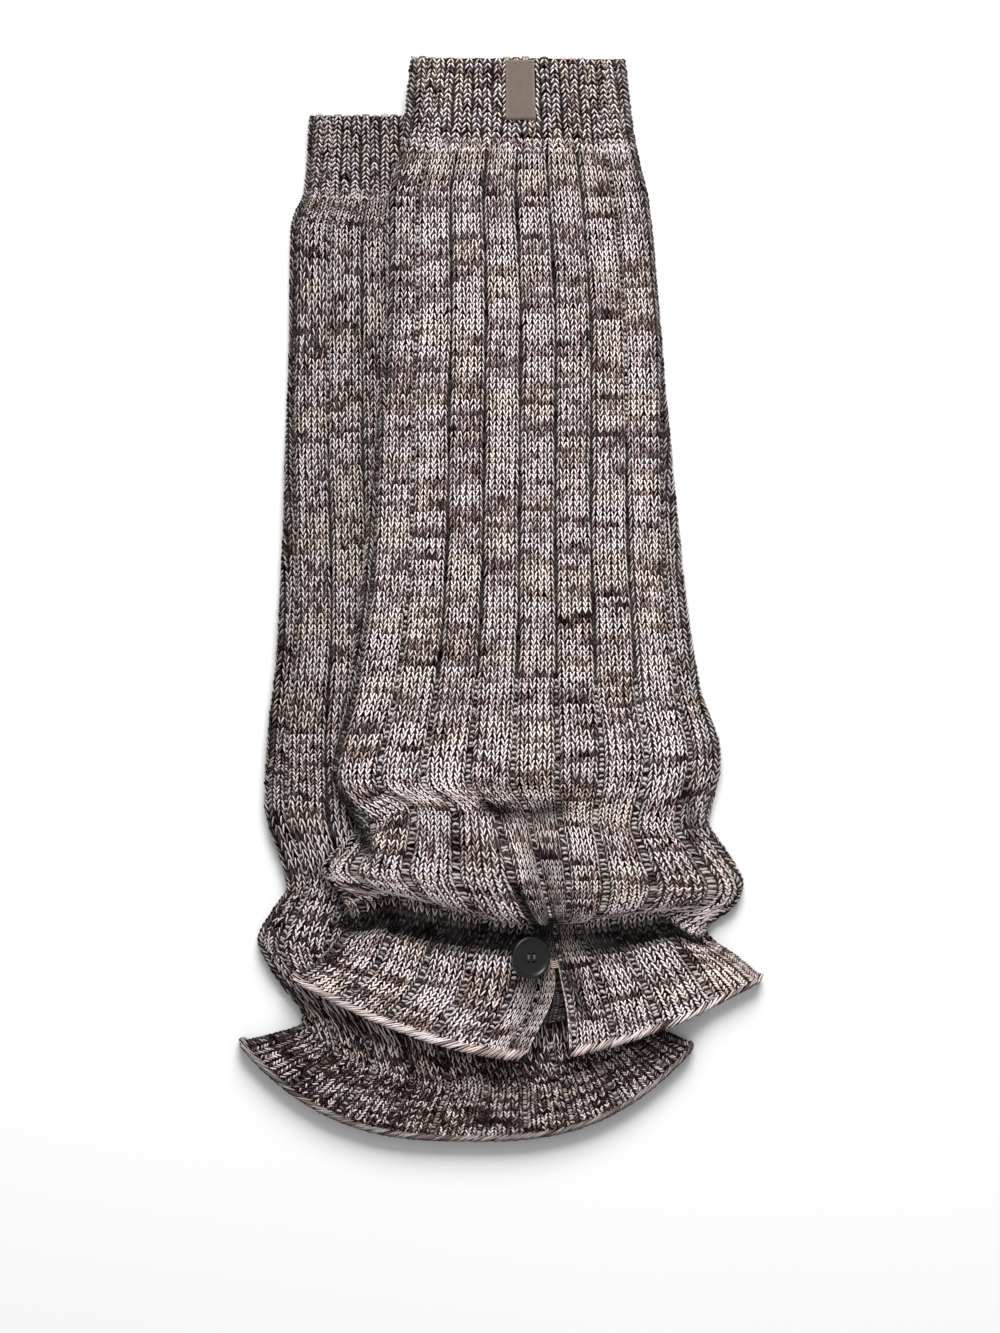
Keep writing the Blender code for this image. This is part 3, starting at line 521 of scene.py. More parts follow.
def cloth_frame(warmer, along, place):
    """The middle of the cloth and the way out of it."""
    along, place = np.broadcast_arrays(np.asarray(along, float), np.asarray(place, float))
    low, high = place - PLACE_PROBE, place + PLACE_PROBE
    if warmer["stacked"]:
        # Beside the slit the way round is read on one side of it alone.
        low = np.where((place > SLIT_AT) & (low < SLIT_AT), place, low)
        high = np.where((place < SLIT_AT) & (high > SLIT_AT), place, high)
    point = cloth_at(warmer, along, place)
    down = cloth_at(warmer, along + PROBE, place) - cloth_at(warmer, along - PROBE, place)
    run = cloth_at(warmer, along, high) - cloth_at(warmer, along, low)
    return point, unit(np.cross(down, run))


def rib_rise(wale, rib_wales):
    """How high a rib stands at a wale: 0 in the purl valley, 1 on the ridge."""
    half = rib_wales / 2
    from_valley = np.abs((wale + half) % rib_wales - half)
    if rib_wales == CUFF_RIB_WALES:
        return ease(from_valley / 0.9)
    return 0.85 * ease((from_valley - 0.3) / 1.0) + 0.15 * ease(from_valley / half)


def on_upper(place):
    """1 on the upper panel, fading to 0 round the side folds."""
    return 1 - ease((np.abs(place) - 1) / 0.8)


def leg_surface(warmer, along, place, sizes):
    """How far the leg's ground stands out of the middle of its cloth."""
    ribs = rib_rise(wale_of(warmer, along, place), RIB_WALES) * sizes.rib_height / MM
    below_cuff = ease((along - CUFF_LENGTH + 4.0) / 12.0)
    in_tuck = ease(1 - np.abs(along - TUCK_ALONG) / TUCK_REACH)
    upper = on_upper(place)
    ribs = ribs * upper * below_cuff * (1 - TUCK_FLATTENS * in_tuck)
    return HALF_WALL - upper * sizes.yarn_rise / MM + ribs


def cuff_surface(warmer, along, place, sizes):
    """How far the cuff's ground stands out of the middle of its cloth."""
    wale = wale_of(warmer, along, place, CUFF_PANEL_WALES)
    ribs = rib_rise(wale, CUFF_RIB_WALES) * sizes.cuff_rib_height / MM
    upper = on_upper(place)
    return HALF_WALL - upper * sizes.yarn_rise / MM + ribs * upper - 0.3 * (1 - ease(along / 2.5))


def hem_surface(warmer, along, place, sizes):
    """How far the rolled edge's ground stands out of the middle of its cloth."""
    down, half = np.array(HEM_ROLL).T
    roll = smooth_curve(down, half, np.clip(along - CLOTH_LENGTH + HEM_WIDTH, 0, HEM_WIDTH))
    sunk = ease((along - CLOTH_LENGTH + HEM_WIDTH) / ROLL_SINK_REACH)
    return roll - ROLL_SINK * on_upper(place) * sunk


def to_metres(points):
    """Points of the tables in metres, about the middle of the pair."""
    return (points - np.array([MIDDLE_X, 0.0, 0.0])) * MM


def link(name, mesh):
    """Puts a mesh in the scene as an object."""
    item = bpy.data.objects.new(name, mesh)
    bpy.context.scene.collection.objects.link(item)
    return item


# How a stretch is knitted: the surface of its ground, the wales in a panel, the height of a course and
# where the first one starts
Knit = namedtuple("Knit", "surface panel_wales pitch first")
INSIDE_WALES = 200  # the wales of the inside of a tube are counted this far below those of its outside


def wall(name, outer, inner, wales, courses, gaps=(), wraps=True):
    """A closed wall between two grids of points, with its wales and courses as its UV map.

    wales has one column more than the grid where it wraps, and then the inside counts its wales lower down.
    gaps holds the faces that are left open.
    """
    rows, places = outer.shape[:2]
    count = rows * places
    open_faces = set(gaps)
    faces, places_uv, edges = [], [], {}
    within = INSIDE_WALES if wraps else 0

    def corner(at, layer):
        return layer * count + at[0] * places + at[1] % places

    def uv(at):
        return (wales[at[0], at[1]], courses[at[0]])

    for row in range(rows - 1):
        for place in range(places if wraps else places - 1):
            if (row, place) in open_faces:
                continue
            loop = [(row, place), (row + 1, place), (row + 1, place + 1), (row, place + 1)]
            faces.append([corner(at, 0) for at in loop])
            faces.append([corner(at, 1) for at in reversed(loop)])
            places_uv.extend([uv(at) for at in loop])
            places_uv.extend([(uv(at)[0] - within, uv(at)[1]) for at in reversed(loop)])
            for start, end in zip(loop, loop[1:] + loop[:1]):
                edges[(corner(start, 0), corner(end, 0))] = (start, end)
    for (first, second), (start, end) in edges.items():
        if (second, first) not in edges:
            faces.append([corner(end, 0), corner(start, 0), corner(start, 1), corner(end, 1)])
            places_uv.extend([uv(end), uv(start), uv(start), uv(end)])
    mesh = bpy.data.meshes.new(name)
    points = np.concatenate([outer.reshape(-1, 3), inner.reshape(-1, 3)])
    mesh.from_pydata(to_metres(points), [], faces)
    layer = mesh.uv_layers.new(name="knit")
    layer.data.foreach_set("uv", np.array(places_uv, np.float32).ravel())
    form = bmesh.new()
    form.from_mesh(mesh)
    bmesh.ops.delete(form, geom=[vert for vert in form.verts if not vert.link_faces], context="VERTS")
    form.to_mesh(mesh)
    form.free()
    mesh.shade_smooth()
    return link(name, mesh)


def tube_places(upper, fold, lower, slit=False):
    """Places round a tube, with so many spans on the upper panel, on each side fold and below."""
    across_upper = np.linspace(-1, 1, upper + 1)
    if slit:
        beside = np.abs(across_upper - SLIT_AT) < 3 * SLIT_HAIR
        edges = [SLIT_AT - SLIT_HAIR, SLIT_AT + SLIT_HAIR]
        across_upper = np.sort(np.concatenate([across_upper[~beside], edges]))
    left = np.arange(fold) / fold - 2
    right = 1 + np.arange(1, fold) / fold
    below = np.linspace(2, 4, lower + 1)[:-1]
    return np.concatenate([left, across_upper, right, below])


def ground(name, warmer, knit, rows, places, sizes):
    """The ground of a knitted tube: a closed wall of cloth that its yarn stands on."""
    rows = np.asarray(rows, float)
    along, place = rows[:, None] + 0 * places, places + 0 * rows[:, None]
    points, out = cloth_frame(warmer, along, place)
    outer = points + out * knit.surface(warmer, along, place, sizes)[..., None]
    outer[..., 2] = np.maximum(outer[..., 2], table_height(warmer, outer[..., 0], outer[..., 1]))
    inner = points - out * HALF_WALL
    around = np.append(places, 4.0)
    wales = wale_of(warmer, rows[:, None] + 0 * around, around + 0 * rows[:, None], knit.panel_wales)
    gaps = ()
    if warmer["stacked"]:
        edge = int(np.argmin(np.abs(places - SLIT_AT + SLIT_HAIR)))
        gaps = [(i, edge) for i, row in enumerate(rows[:-1]) if row >= SLIT_ALONG - 0.01]
    return wall(name, outer, inner, wales, rows / knit.pitch, gaps)


# Strands: each one is a closed tube of five stations, whose first and last are points. How high a strand
# stands at each station over the ground is in shares of the yarn's rise.
STATIONS = np.array([0.0, 0.2, 0.5, 0.8, 1.0])
GIRTH = np.array([0.0, 0.9, 1.0, 0.85, 0.0])
KNIT_RISE = np.array([-0.55, 0.12, 0.30, 0.05, -0.65])
PURL_RISE = np.array([-0.7, -0.1, 0.1, -0.1, -0.7])
RING = 4
STRAND_POINTS = 2 + 3 * RING
HEM_COURSE = 400.0  # the course that the rolled edge has in the dye's pattern


def strand_pattern():
    """The corners of a strand's faces, how many each face has, and where each lies on the strand."""
    corners, sizes, places = [], [], []
    for k in range(RING):
        beside = (k + 1) % RING
        low, high = k / RING, (k + 1) / RING
        corners += [0, 1 + beside, 1 + k]
        places += [((low + high) / 2, STATIONS[0]), (high, STATIONS[1]), (low, STATIONS[1])]
        sizes.append(3)
        for j in range(2):
            near, far = 1 + RING * j, 1 + RING * (j + 1)
            corners += [near + k, near + beside, far + beside, far + k]
            s, next_s = STATIONS[j + 1], STATIONS[j + 2]
            places += [(low, s), (high, s), (high, next_s), (low, next_s)]
            sizes.append(4)
        last = 1 + 2 * RING
        corners += [STRAND_POINTS - 1, last + k, last + beside]
        places += [((low + high) / 2, STATIONS[4]), (low, STATIONS[3]), (high, STATIONS[3])]
        sizes.append(3)
    return np.array(corners), np.array(sizes), np.array(places)


def strands(name, warmer, centre, out, half_width, half_height, ids):
    """Closed strands along rows of five points each, in one mesh. None goes under what its warmer lies on.

    ids holds for each strand its wale, its course, and how much light it gets, which is below nothing for
    the left leg of a stitch. Its material reads them.
    """
    count = len(centre)
    forward = unit(np.gradient(centre, axis=1))
    side = unit(np.cross(out, forward))
    up = np.cross(forward, side)
    points = np.empty((count, STRAND_POINTS, 3))
    points[:, 0], points[:, -1] = centre[:, 0], centre[:, -1]
    for k in range(RING):
        turn = 2 * math.pi * k / RING
        ring = side[:, 1:4] * (half_width[:, 1:4] * math.cos(turn))[..., None]
        ring = ring + up[:, 1:4] * (half_height[:, 1:4] * math.sin(turn))[..., None]
        points[:, 1 + k : STRAND_POINTS - 1 : RING] = centre[:, 1:4] + ring
    points[..., 2] = np.maximum(points[..., 2], table_height(warmer, points[..., 0], points[..., 1]))
    corners, sizes, places = strand_pattern()
    mesh = bpy.data.meshes.new(name)
    mesh.vertices.add(count * STRAND_POINTS)
    mesh.vertices.foreach_set("co", to_metres(points).astype(np.float32).ravel())
    every = corners[None, :] + STRAND_POINTS * np.arange(count)[:, None]
    mesh.loops.add(every.size)
    mesh.loops.foreach_set("vertex_index", every.astype(np.int32).ravel())
    starts = np.concatenate([[0], np.cumsum(np.tile(sizes, count))[:-1]])
    mesh.polygons.add(len(starts))
    mesh.polygons.foreach_set("loop_start", starts.astype(np.int32))
    on_strand = mesh.uv_layers.new(name="strand")
    on_strand.data.foreach_set("uv", np.tile(places, (count, 1)).astype(np.float32).ravel())
    cells = math.ceil(math.sqrt(count))
    index = np.arange(count)
    cell = np.stack([index % cells, index // cells], axis=-1)[:, None, :]
    atlas = (cell + 0.04 + 0.92 * places[None]) / cells
    for_bake = mesh.uv_layers.new(name="OFBake")
    for_bake.data.foreach_set("uv", atlas.astype(np.float32).ravel())
    stitch = mesh.attributes.new("stitch", "FLOAT_VECTOR", "POINT")
    stitch.data.foreach_set("vector", np.repeat(ids, STRAND_POINTS, axis=0).astype(np.float32).ravel())
    mesh.update(calc_edges=True)
    mesh.validate()
    mesh.shade_smooth()
    return link(name, mesh)


def off_slit(place, left, right):
    """Places held back from the slit, for the strands on its left and for those on its right."""
    place = np.where(left, np.minimum(place, SLIT_AT - 2 * SLIT_HAIR), place)
    return np.where(right & (place < 1), np.maximum(place, SLIT_AT + 2 * SLIT_HAIR), place)


def knit_strands(warmer, knit, wale, course, sizes, rng):
    """The two legs of each knit stitch, as rows of points. They spread from a tip towards the hem."""
    wale, course = np.repeat(wale, 2), np.repeat(course, 2)
    leg = np.tile([-1.0, 1.0], len(wale) // 2)
    in_cuff = knit.panel_wales == CUFF_PANEL_WALES
    lean = 0.02 + 0.47 * STATIONS**0.9 if in_cuff else 0.07 + 0.43 * STATIONS**0.85
    reach = 1.2 if in_cuff else 1.5
    uneven = 0.06 if in_cuff else 0.035
    stray = rng.normal(0, uneven, len(wale)) + 0.07 * np.sin(0.23 * course + 1.7 * wale)
    at_wale = wale[:, None] + leg[:, None] * lean * rng.normal(1, 0.1, len(wale))[:, None] + stray[:, None]
    start = knit.first + (course + 0.5) * knit.pitch + rng.normal(0, 0.09 * knit.pitch, len(wale))
    along = start[:, None] + (STATIONS - 0.5) * reach * knit.pitch
    place = place_of(warmer, along, at_wale, knit.panel_wales)
    if warmer["stacked"] and not in_cuff:
        left, low = (wale < SLIT_WALE)[:, None], along > SLIT_ALONG - knit.pitch
        place = off_slit(place, left & low, ~left & low)
    rise = KNIT_RISE * sizes.yarn_rise / MM
    points, out = cloth_frame(warmer, along, place)
    jitter = rng.normal(0, 0.09, len(wale))[:, None]
    height = knit.surface(warmer, along, place, sizes) + rise + jitter
    return points + out * height[..., None], out, wale, course, leg, along, place


def rolled_strands(name, warmer, seed):
    """The slanting strands that the rolled edge of a hem shows, like a loose rope, as one mesh."""
    rng = np.random.default_rng(seed)
    wale = np.arange(-10.0, 56.0, 0.5)
    down = np.array([-2.2, -0.3, 1.6, 3.5, 4.05])
    height = np.array([0.5, 1.7, 2.3, 1.6, 0.2])
    slant = np.array([1.25, 0.7, 0.0, -0.7, -1.1])
    at_wale = wale[:, None] + slant * rng.normal(1, 0.15, len(wale))[:, None]
    at_wale = at_wale + rng.normal(0, 0.08, len(wale))[:, None]
    along = HEM_START + down + rng.normal(0, 0.12, (len(wale), 5))
    along = np.minimum(along, CLOTH_LENGTH)
    place = place_of(warmer, along, at_wale)
    keep = np.abs(place[:, 2]) < 1.8
    if warmer["stacked"]:
        keep &= (np.max(place, axis=1) < SLIT_AT + 0.005) | (np.min(place, axis=1) > SLIT_AT - 0.005)
        left = (wale < SLIT_WALE)[:, None]
        place = off_slit(place, left, ~left)
    points, out = cloth_frame(warmer, along, place)
    if warmer["hidden_under"] is not None:
        keep &= in_sight(points[:, 2, 0], points[:, 2, 1], warmer["hidden_under"])
    centre = (points + out * (height + rng.normal(0, 0.06, len(wale))[:, None])[..., None])[keep]
    half_width = rng.normal(0.62, 0.07, (len(centre), 1)) * GIRTH
    half_height = np.full((len(centre), 5), 0.6) * GIRTH
    ids = np.stack([wale[keep] * 3, np.full(len(centre), HEM_COURSE), np.ones(len(centre))], axis=-1)
    return strands(name, warmer, centre, out[keep], half_width, half_height, ids)


def wale_pitch(warmer, along, wale, panel_wales):
    """The width of a wale on a row."""
    half = 0.5 * rib_of(panel_wales)
    low = lies_across(warmer, along, wale - half, panel_wales)
    high = lies_across(warmer, along, wale + half, panel_wales)
    return half_span(warmer, along) * (high - low) / (2 * half)


def purl_strands(warmer, knit, wale, course, sizes, rng):
    """The arc that each purl stitch shows, as rows of points across its wale."""
    start = knit.first + (course + 0.5) * knit.pitch + rng.normal(0, 0.12 * knit.pitch, len(wale))
    at_wale = wale[:, None] + (STATIONS - 0.5) * 1.15
    bow = np.where(course % 2 < 1, -1.6, 1.3) + rng.normal(0, 0.3, len(wale))
    tilt = rng.normal(0, 0.35, len(wale))
    bent = bow[:, None] * ((STATIONS - 0.5) ** 2 - 0.12) + tilt[:, None] * (STATIONS - 0.5)
    along = start[:, None] + bent * knit.pitch
    place = place_of(warmer, along, at_wale, knit.panel_wales)
    rise = PURL_RISE * sizes.yarn_rise / MM
    points, out = cloth_frame(warmer, along, place)
    height = knit.surface(warmer, along, place, sizes) + rise
    return points + out * height[..., None], out, place[:, 2]


def edge_arcs(warmer, knit, wale, sizes, rng):
    """The loops that stand over the top edge of a cuff, one on each knit wale."""
    below_edge = 0.4
    at_wale = wale[:, None] + (STATIONS - 0.5) * 1.25
    along = 0 * at_wale + below_edge
    above = rng.normal(0.5, 0.2, len(wale))[:, None] * (1 - 4 * (STATIONS - 0.5) ** 2)
    place = place_of(warmer, along, at_wale, knit.panel_wales)
    points, out = cloth_frame(warmer, along, place)
    height = knit.surface(warmer, along, place, sizes) + np.array([-0.5, 0.1, 0.2, 0.1, -0.5])
    points = points + out * height[..., None]
    points[..., 1] += below_edge + above
    return points, out


def inside_outline(outline, x, y):
    """Which places lie inside an outline in plan."""
    inside = np.zeros(np.shape(x), bool)
    for (ax, ay), (bx, by) in zip(outline, np.roll(outline, -1, axis=0)):
        crosses = (ay > y) != (by > y)
        if ay != by:
            inside ^= crosses & (x < (bx - ax) * (y - ay) / (by - ay) + ax)
    return inside


def front_outline():
    """The outline of the front warmer in plan."""
    warmer = WARMERS["front"]
    rows, places = np.linspace(0, CLOTH_LENGTH, 160), np.linspace(-1, 1, 60)
    beyond = np.array([SIDE_TURN + HALF_WALL, 0])
    left = np.stack(plan(warmer, rows, -1.0 + 0 * rows), axis=-1) - beyond
    right = np.stack(plan(warmer, rows, 1.0 + 0 * rows), axis=-1) + beyond
    hem = np.stack(plan(warmer, CLOTH_LENGTH + 0 * places, places), axis=-1)
    return np.concatenate([left, hem, right[::-1]])


def in_sight(x, y, margin):
    """Which places of the rear warmer the front one leaves in sight."""
    outline = front_outline()
    covered = np.ones(np.shape(x), bool)
    for across_way, along_way in ((margin, 0), (-margin, 0), (0, margin), (0, -margin)):
        covered &= inside_outline(outline, x + across_way, y + along_way)
    return ~covered


def in_light(warmer, along, place, points):
    """How much light reaches the yarn at a place: less in creases, in the tuck and at the side folds."""
    crease = np.minimum(gather_height(warmer, points[:, 0], points[:, 1]), 0.0)
    round_side = ease((np.abs(place) - SIDE_FROM) / SIDE_REACH)
    light = np.exp(CREASE_SHADE * crease) * (1 - SIDE_SHADE * round_side)
    if warmer["stacked"]:
        merged = np.exp(-(((points[:, 0] - TUCK_MERGES) / MERGE_REACH) ** 2))
        in_tuck = ease(1.4 - np.abs(along - SHADE_ALONG) / SHADE_REACH)
        light = light * (1 - (TUCK_SHADE - MERGED_SHADE * merged) * in_tuck)
        light = light * (1 - BUNCH_SHADE * ease(1.3 - np.abs(along - BUNCH_ALONG) / BUNCH_REACH))
    return light


def shown(warmer, knit, stretch, wales):
    """The wales and courses of a stretch whose yarn shows, and which of them are purl."""
    wale, course = (grid.ravel() for grid in np.meshgrid(np.arange(*wales), np.arange(*stretch)))
    middle = knit.first + (course + 0.5) * knit.pitch
    place = place_of(warmer, middle, wale.astype(float), knit.panel_wales)
    keep = np.abs(place) < YARN_TO
    keep &= wale_pitch(warmer, middle, wale.astype(float), knit.panel_wales) > NARROWEST_WALE
    if warmer["hidden_under"] is not None:
        at = cloth_at(warmer, middle, np.clip(place, -1.9, 1.9))
        keep &= in_sight(at[:, 0], at[:, 1], warmer["hidden_under"])
    # A purl wale that the ribs close over shows none of its yarn, but it opens where the tube turns.
    purl = wale % rib_of(knit.panel_wales) == 0
    closed = spread(warmer, middle, knit.panel_wales)[2] > CLOSED_PULL
    keep &= ~(purl & closed & (np.abs(place) < OPEN_FROM))
    return wale[keep].astype(float), course[keep].astype(float), purl[keep]


def knitted(name, warmer, knit, stretch, wales, sizes, seed):
    """The yarn of a stretch of knitting, from course to course, as one mesh."""
    rng = np.random.default_rng(seed)
    rib_wales = rib_of(knit.panel_wales)
    in_cuff = knit.panel_wales == CUFF_PANEL_WALES
    all_wales, all_courses, purl = shown(warmer, knit, stretch, wales)
    yarn_width = sizes.yarn_width / MM

    # The legs of the knit stitches, with painted shade beside a wide rib's valley and on narrow wales.
    centre, out, wale, course, leg, along, place = knit_strands(
        warmer, knit, all_wales[~purl], all_courses[~purl], sizes, rng
    )
    width = wale_pitch(warmer, along, wale[:, None], knit.panel_wales)
    half_width = np.clip(width * 0.15, 0.48 if in_cuff else 0.2, 0.7) * GIRTH
    half_height = np.full(half_width.shape, 0.5 * yarn_width) * GIRTH
    in_rib = wale % rib_wales
    beside = ((in_rib == 1) & (leg < 0)) | ((in_rib == rib_wales - 1) & (leg > 0))
    light = np.where(beside & (not in_cuff), 0.85, 1.0) * np.clip(width[:, 2] / 2.6, 0.4, 1.0)
    light = light * in_light(warmer, along[:, 2], place[:, 2], centre[:, 2])
    ids = np.stack([wale, course, leg * light], axis=-1)

    # The arcs of the purl stitches, which lie deeper, with painted shade that deepens round the side folds
    arc_wale, arc_course = all_wales[purl], all_courses[purl]
    arcs, arcs_out, arc_place = purl_strands(warmer, knit, arc_wale, arc_course, sizes, rng)
    arc_width = rng.normal(0.36 * knit.pitch, 0.05 * knit.pitch, (len(arcs), 1)) * GIRTH
    arc_height = np.full((len(arcs), 5), 0.4 * yarn_width) * GIRTH
    arc_along = knit.first + (arc_course + 0.5) * knit.pitch
    arc_light = 0.66 - 0.2 * ease((np.abs(arc_place) - 0.86) / 0.14)
    arc_light = arc_light * in_light(warmer, arc_along, arc_place, arcs[:, 2])
    arc_ids = np.stack([arc_wale, arc_course, arc_light], axis=-1)

    parts = [(centre, out, half_width, half_height, ids)]
    if in_cuff:
        tops = np.unique(wale)
        tops = tops[np.abs(place_of(warmer, 0 * tops, tops, knit.panel_wales)) < 1.7]
        loops, loops_out = edge_arcs(warmer, knit, tops, sizes, rng)
        girth = np.full((len(tops), 5), 0.5) * GIRTH
        loop_ids = np.stack([tops, 0 * tops - 1, 0 * tops + 1], axis=-1)
        parts.append((loops, loops_out, girth, girth, loop_ids))
    parts.append((arcs, arcs_out, arc_width, arc_height, arc_ids))
    return strands(name, warmer, *(np.concatenate(kind) for kind in zip(*parts)))


def srgb(red, green, blue):
    """A colour in linear light, from its values as a screen shows them."""
    return tuple((value / 255.0) ** 2.2 for value in (red, green, blue))


class Finish:
    """A material's node tree, built node by node."""

    def __init__(self, name, roughness=0.8, **values):
        self.material = bpy.data.materials.new(name)
        self.material.use_nodes = True
        self.tree = self.material.node_tree
        self.shader = self.tree.nodes["Principled BSDF"]
        self.shader.inputs["Roughness"].default_value = roughness
        for key, value in values.items():
            self.shader.inputs[key.replace("_", " ")].default_value = value

    def put(self, kind, inputs=(), output=0, **settings):
        """Adds a node, sets it, feeds its inputs with values or other nodes' outputs, gives an output."""
        node = self.tree.nodes.new(kind)
        for key, value in settings.items():
            setattr(node, key, value)
        for key, value in dict(inputs).items():
            if isinstance(value, bpy.types.NodeSocket):
                self.tree.links.new(value, node.inputs[key])
            else:
                node.inputs[key].default_value = value
        return node.outputs[output]

    def math(self, operation, *values):
        return self.put("ShaderNodeMath", enumerate(values), operation=operation)

    def attribute(self, name):
        return self.put("ShaderNodeAttribute", attribute_name=name, output="Vector")

    def uv(self, name):
        return self.put("ShaderNodeUVMap", uv_map=name)

    def parts(self, vector):
        self.put("ShaderNodeSeparateXYZ", {0: vector})
        return self.tree.nodes[-1].outputs

    def vector(self, x, y, z):
        return self.put("ShaderNodeCombineXYZ", {0: x, 1: y, 2: z})

    def place(self):
        return self.put("ShaderNodeTexCoord", output="Object")

    def noise(self, vector, scale=1.0, detail=2.0, roughness=0.5):
        settings = {"Vector": vector, "Scale": scale, "Detail": detail, "Roughness": roughness}
        return self.put("ShaderNodeTexNoise", settings)

    def chance(self, vector):
        return self.put("ShaderNodeTexWhiteNoise", {"Vector": vector})

    def ramp(self, value, stops):
        """A colour ramp of (place, colour) stops."""
        out = self.put("ShaderNodeValToRGB", {0: value})
        ramp = self.tree.nodes[-1].color_ramp
        while len(ramp.elements) < len(stops):
            ramp.elements.new(1.0)
        for element, (at, colour) in zip(ramp.elements, stops):
            element.position = at
            element.color = (*colour[:3], 1.0)
        return out

    def smooth(self, value, low, high):
        """0 below low to 1 above high, with a soft step."""
        settings = {"Value": value, "From Min": low, "From Max": high}
        return self.put("ShaderNodeMapRange", settings, interpolation_type="SMOOTHSTEP")

    def mix(self, share, first, second, blend="MIX"):
        node = self.tree.nodes.new("ShaderNodeMix")
        node.data_type, node.blend_type = "RGBA", blend
        for key, value in ((0, share), (6, first), (7, second)):
            if isinstance(value, bpy.types.NodeSocket):
                self.tree.links.new(value, node.inputs[key])
            else:
                node.inputs[key].default_value = value if key == 0 else (*value[:3], 1.0)
        return node.outputs[2]

    def colour(self, colour, level):
        """Gives the shader a colour, darkened or lightened to a level."""
        shaded = self.mix(1.0, colour, self.vector(level, level, level), blend="MULTIPLY")
        self.tree.links.new(shaded, self.shader.inputs["Base Color"])

    def roughness(self, socket):
        self.tree.links.new(socket, self.shader.inputs["Roughness"])

    def bump(self, height, distance, strength=1.0):
        settings = {"Height": height, "Distance": distance, "Strength": strength}
        normal = self.put("ShaderNodeBump", settings)
        self.tree.links.new(normal, self.shader.inputs["Normal"])


# Marl: how much its dyed lengths, the turns of the dye from row to row and its dark bands change how
# light it is; how much a painted shadow past a course darkens it, and over how many courses; and how fine
# its fibres are
DYED_CHANGE, TURN_CHANGE, BAND_CHANGE = 0.24, 0.36, -0.27
PAINTED_SHADOW_CHANGE, PAINTED_SHADOW_REACH = -0.27, 26.0
FIBRE_SCALE = 2600.0


def marl(finish, wale, course, leg, colours, rib_wales, dye, blocky, lightness, lively):
    """The yarn's own colour at a stitch, and how light it is: lengths of space-dyed, plied yarn.

    dye says where in the pattern of the dye it lies, and blocky and lively how much its lengths and its
    stitches differ.
    """
    rib = finish.math("FLOOR", finish.math("DIVIDE", finish.math("ADD", wale, 0.5), rib_wales))
    ragged = finish.math("MULTIPLY_ADD", wale, 0.06, finish.math("MULTIPLY", rib, 5.31))
    spot = finish.vector(ragged, finish.math("MULTIPLY", course, 0.27), dye)
    lengths = finish.noise(spot, scale=1.0, detail=2.0, roughness=0.7)
    ragged = finish.math("MULTIPLY_ADD", wale, 0.11, finish.math("MULTIPLY", rib, 3.17))
    spot = finish.vector(ragged, course, dye + 9.0)
    bands = finish.smooth(finish.noise(spot, scale=1.0, detail=1.0), 0.53, 0.62)
    each = finish.chance(finish.vector(wale, course, finish.math("ADD", leg, dye + 3.0)))
    turn = finish.chance(finish.vector(rib, course, dye + 40.0))
    dyed = finish.math("SUBTRACT", finish.smooth(lengths, 0.44, 0.56), 0.5)
    light = finish.math("MULTIPLY_ADD", dyed, DYED_CHANGE * blocky, lightness)
    light = finish.math("MULTIPLY_ADD", finish.math("SUBTRACT", turn, 0.5), TURN_CHANGE, light)
    light = finish.math("MULTIPLY_ADD", bands, BAND_CHANGE, light)
    light = finish.math("MULTIPLY_ADD", finish.math("SUBTRACT", each, 0.5), lively, light)
    own = finish.ramp(light, (
        (0.08, colours.dark_yarn),
        (0.30, colours.middle_yarn),
        (0.54, colours.tan_yarn),
        (0.74, colours.light_yarn),
    ))
    slow_rib, slow_course = finish.math("MULTIPLY", rib, 2.31), finish.math("MULTIPLY", course, 0.13)
    patches = finish.noise(finish.vector(slow_rib, slow_course, dye + 21.0), scale=1.0, detail=1.0)
    tint = finish.mix(finish.smooth(patches, 0.49, 0.6), (0.98, 0.965, 0.995), (1.02, 0.985, 0.93))
    return finish.mix(1.0, own, tint, blend="MULTIPLY"), light


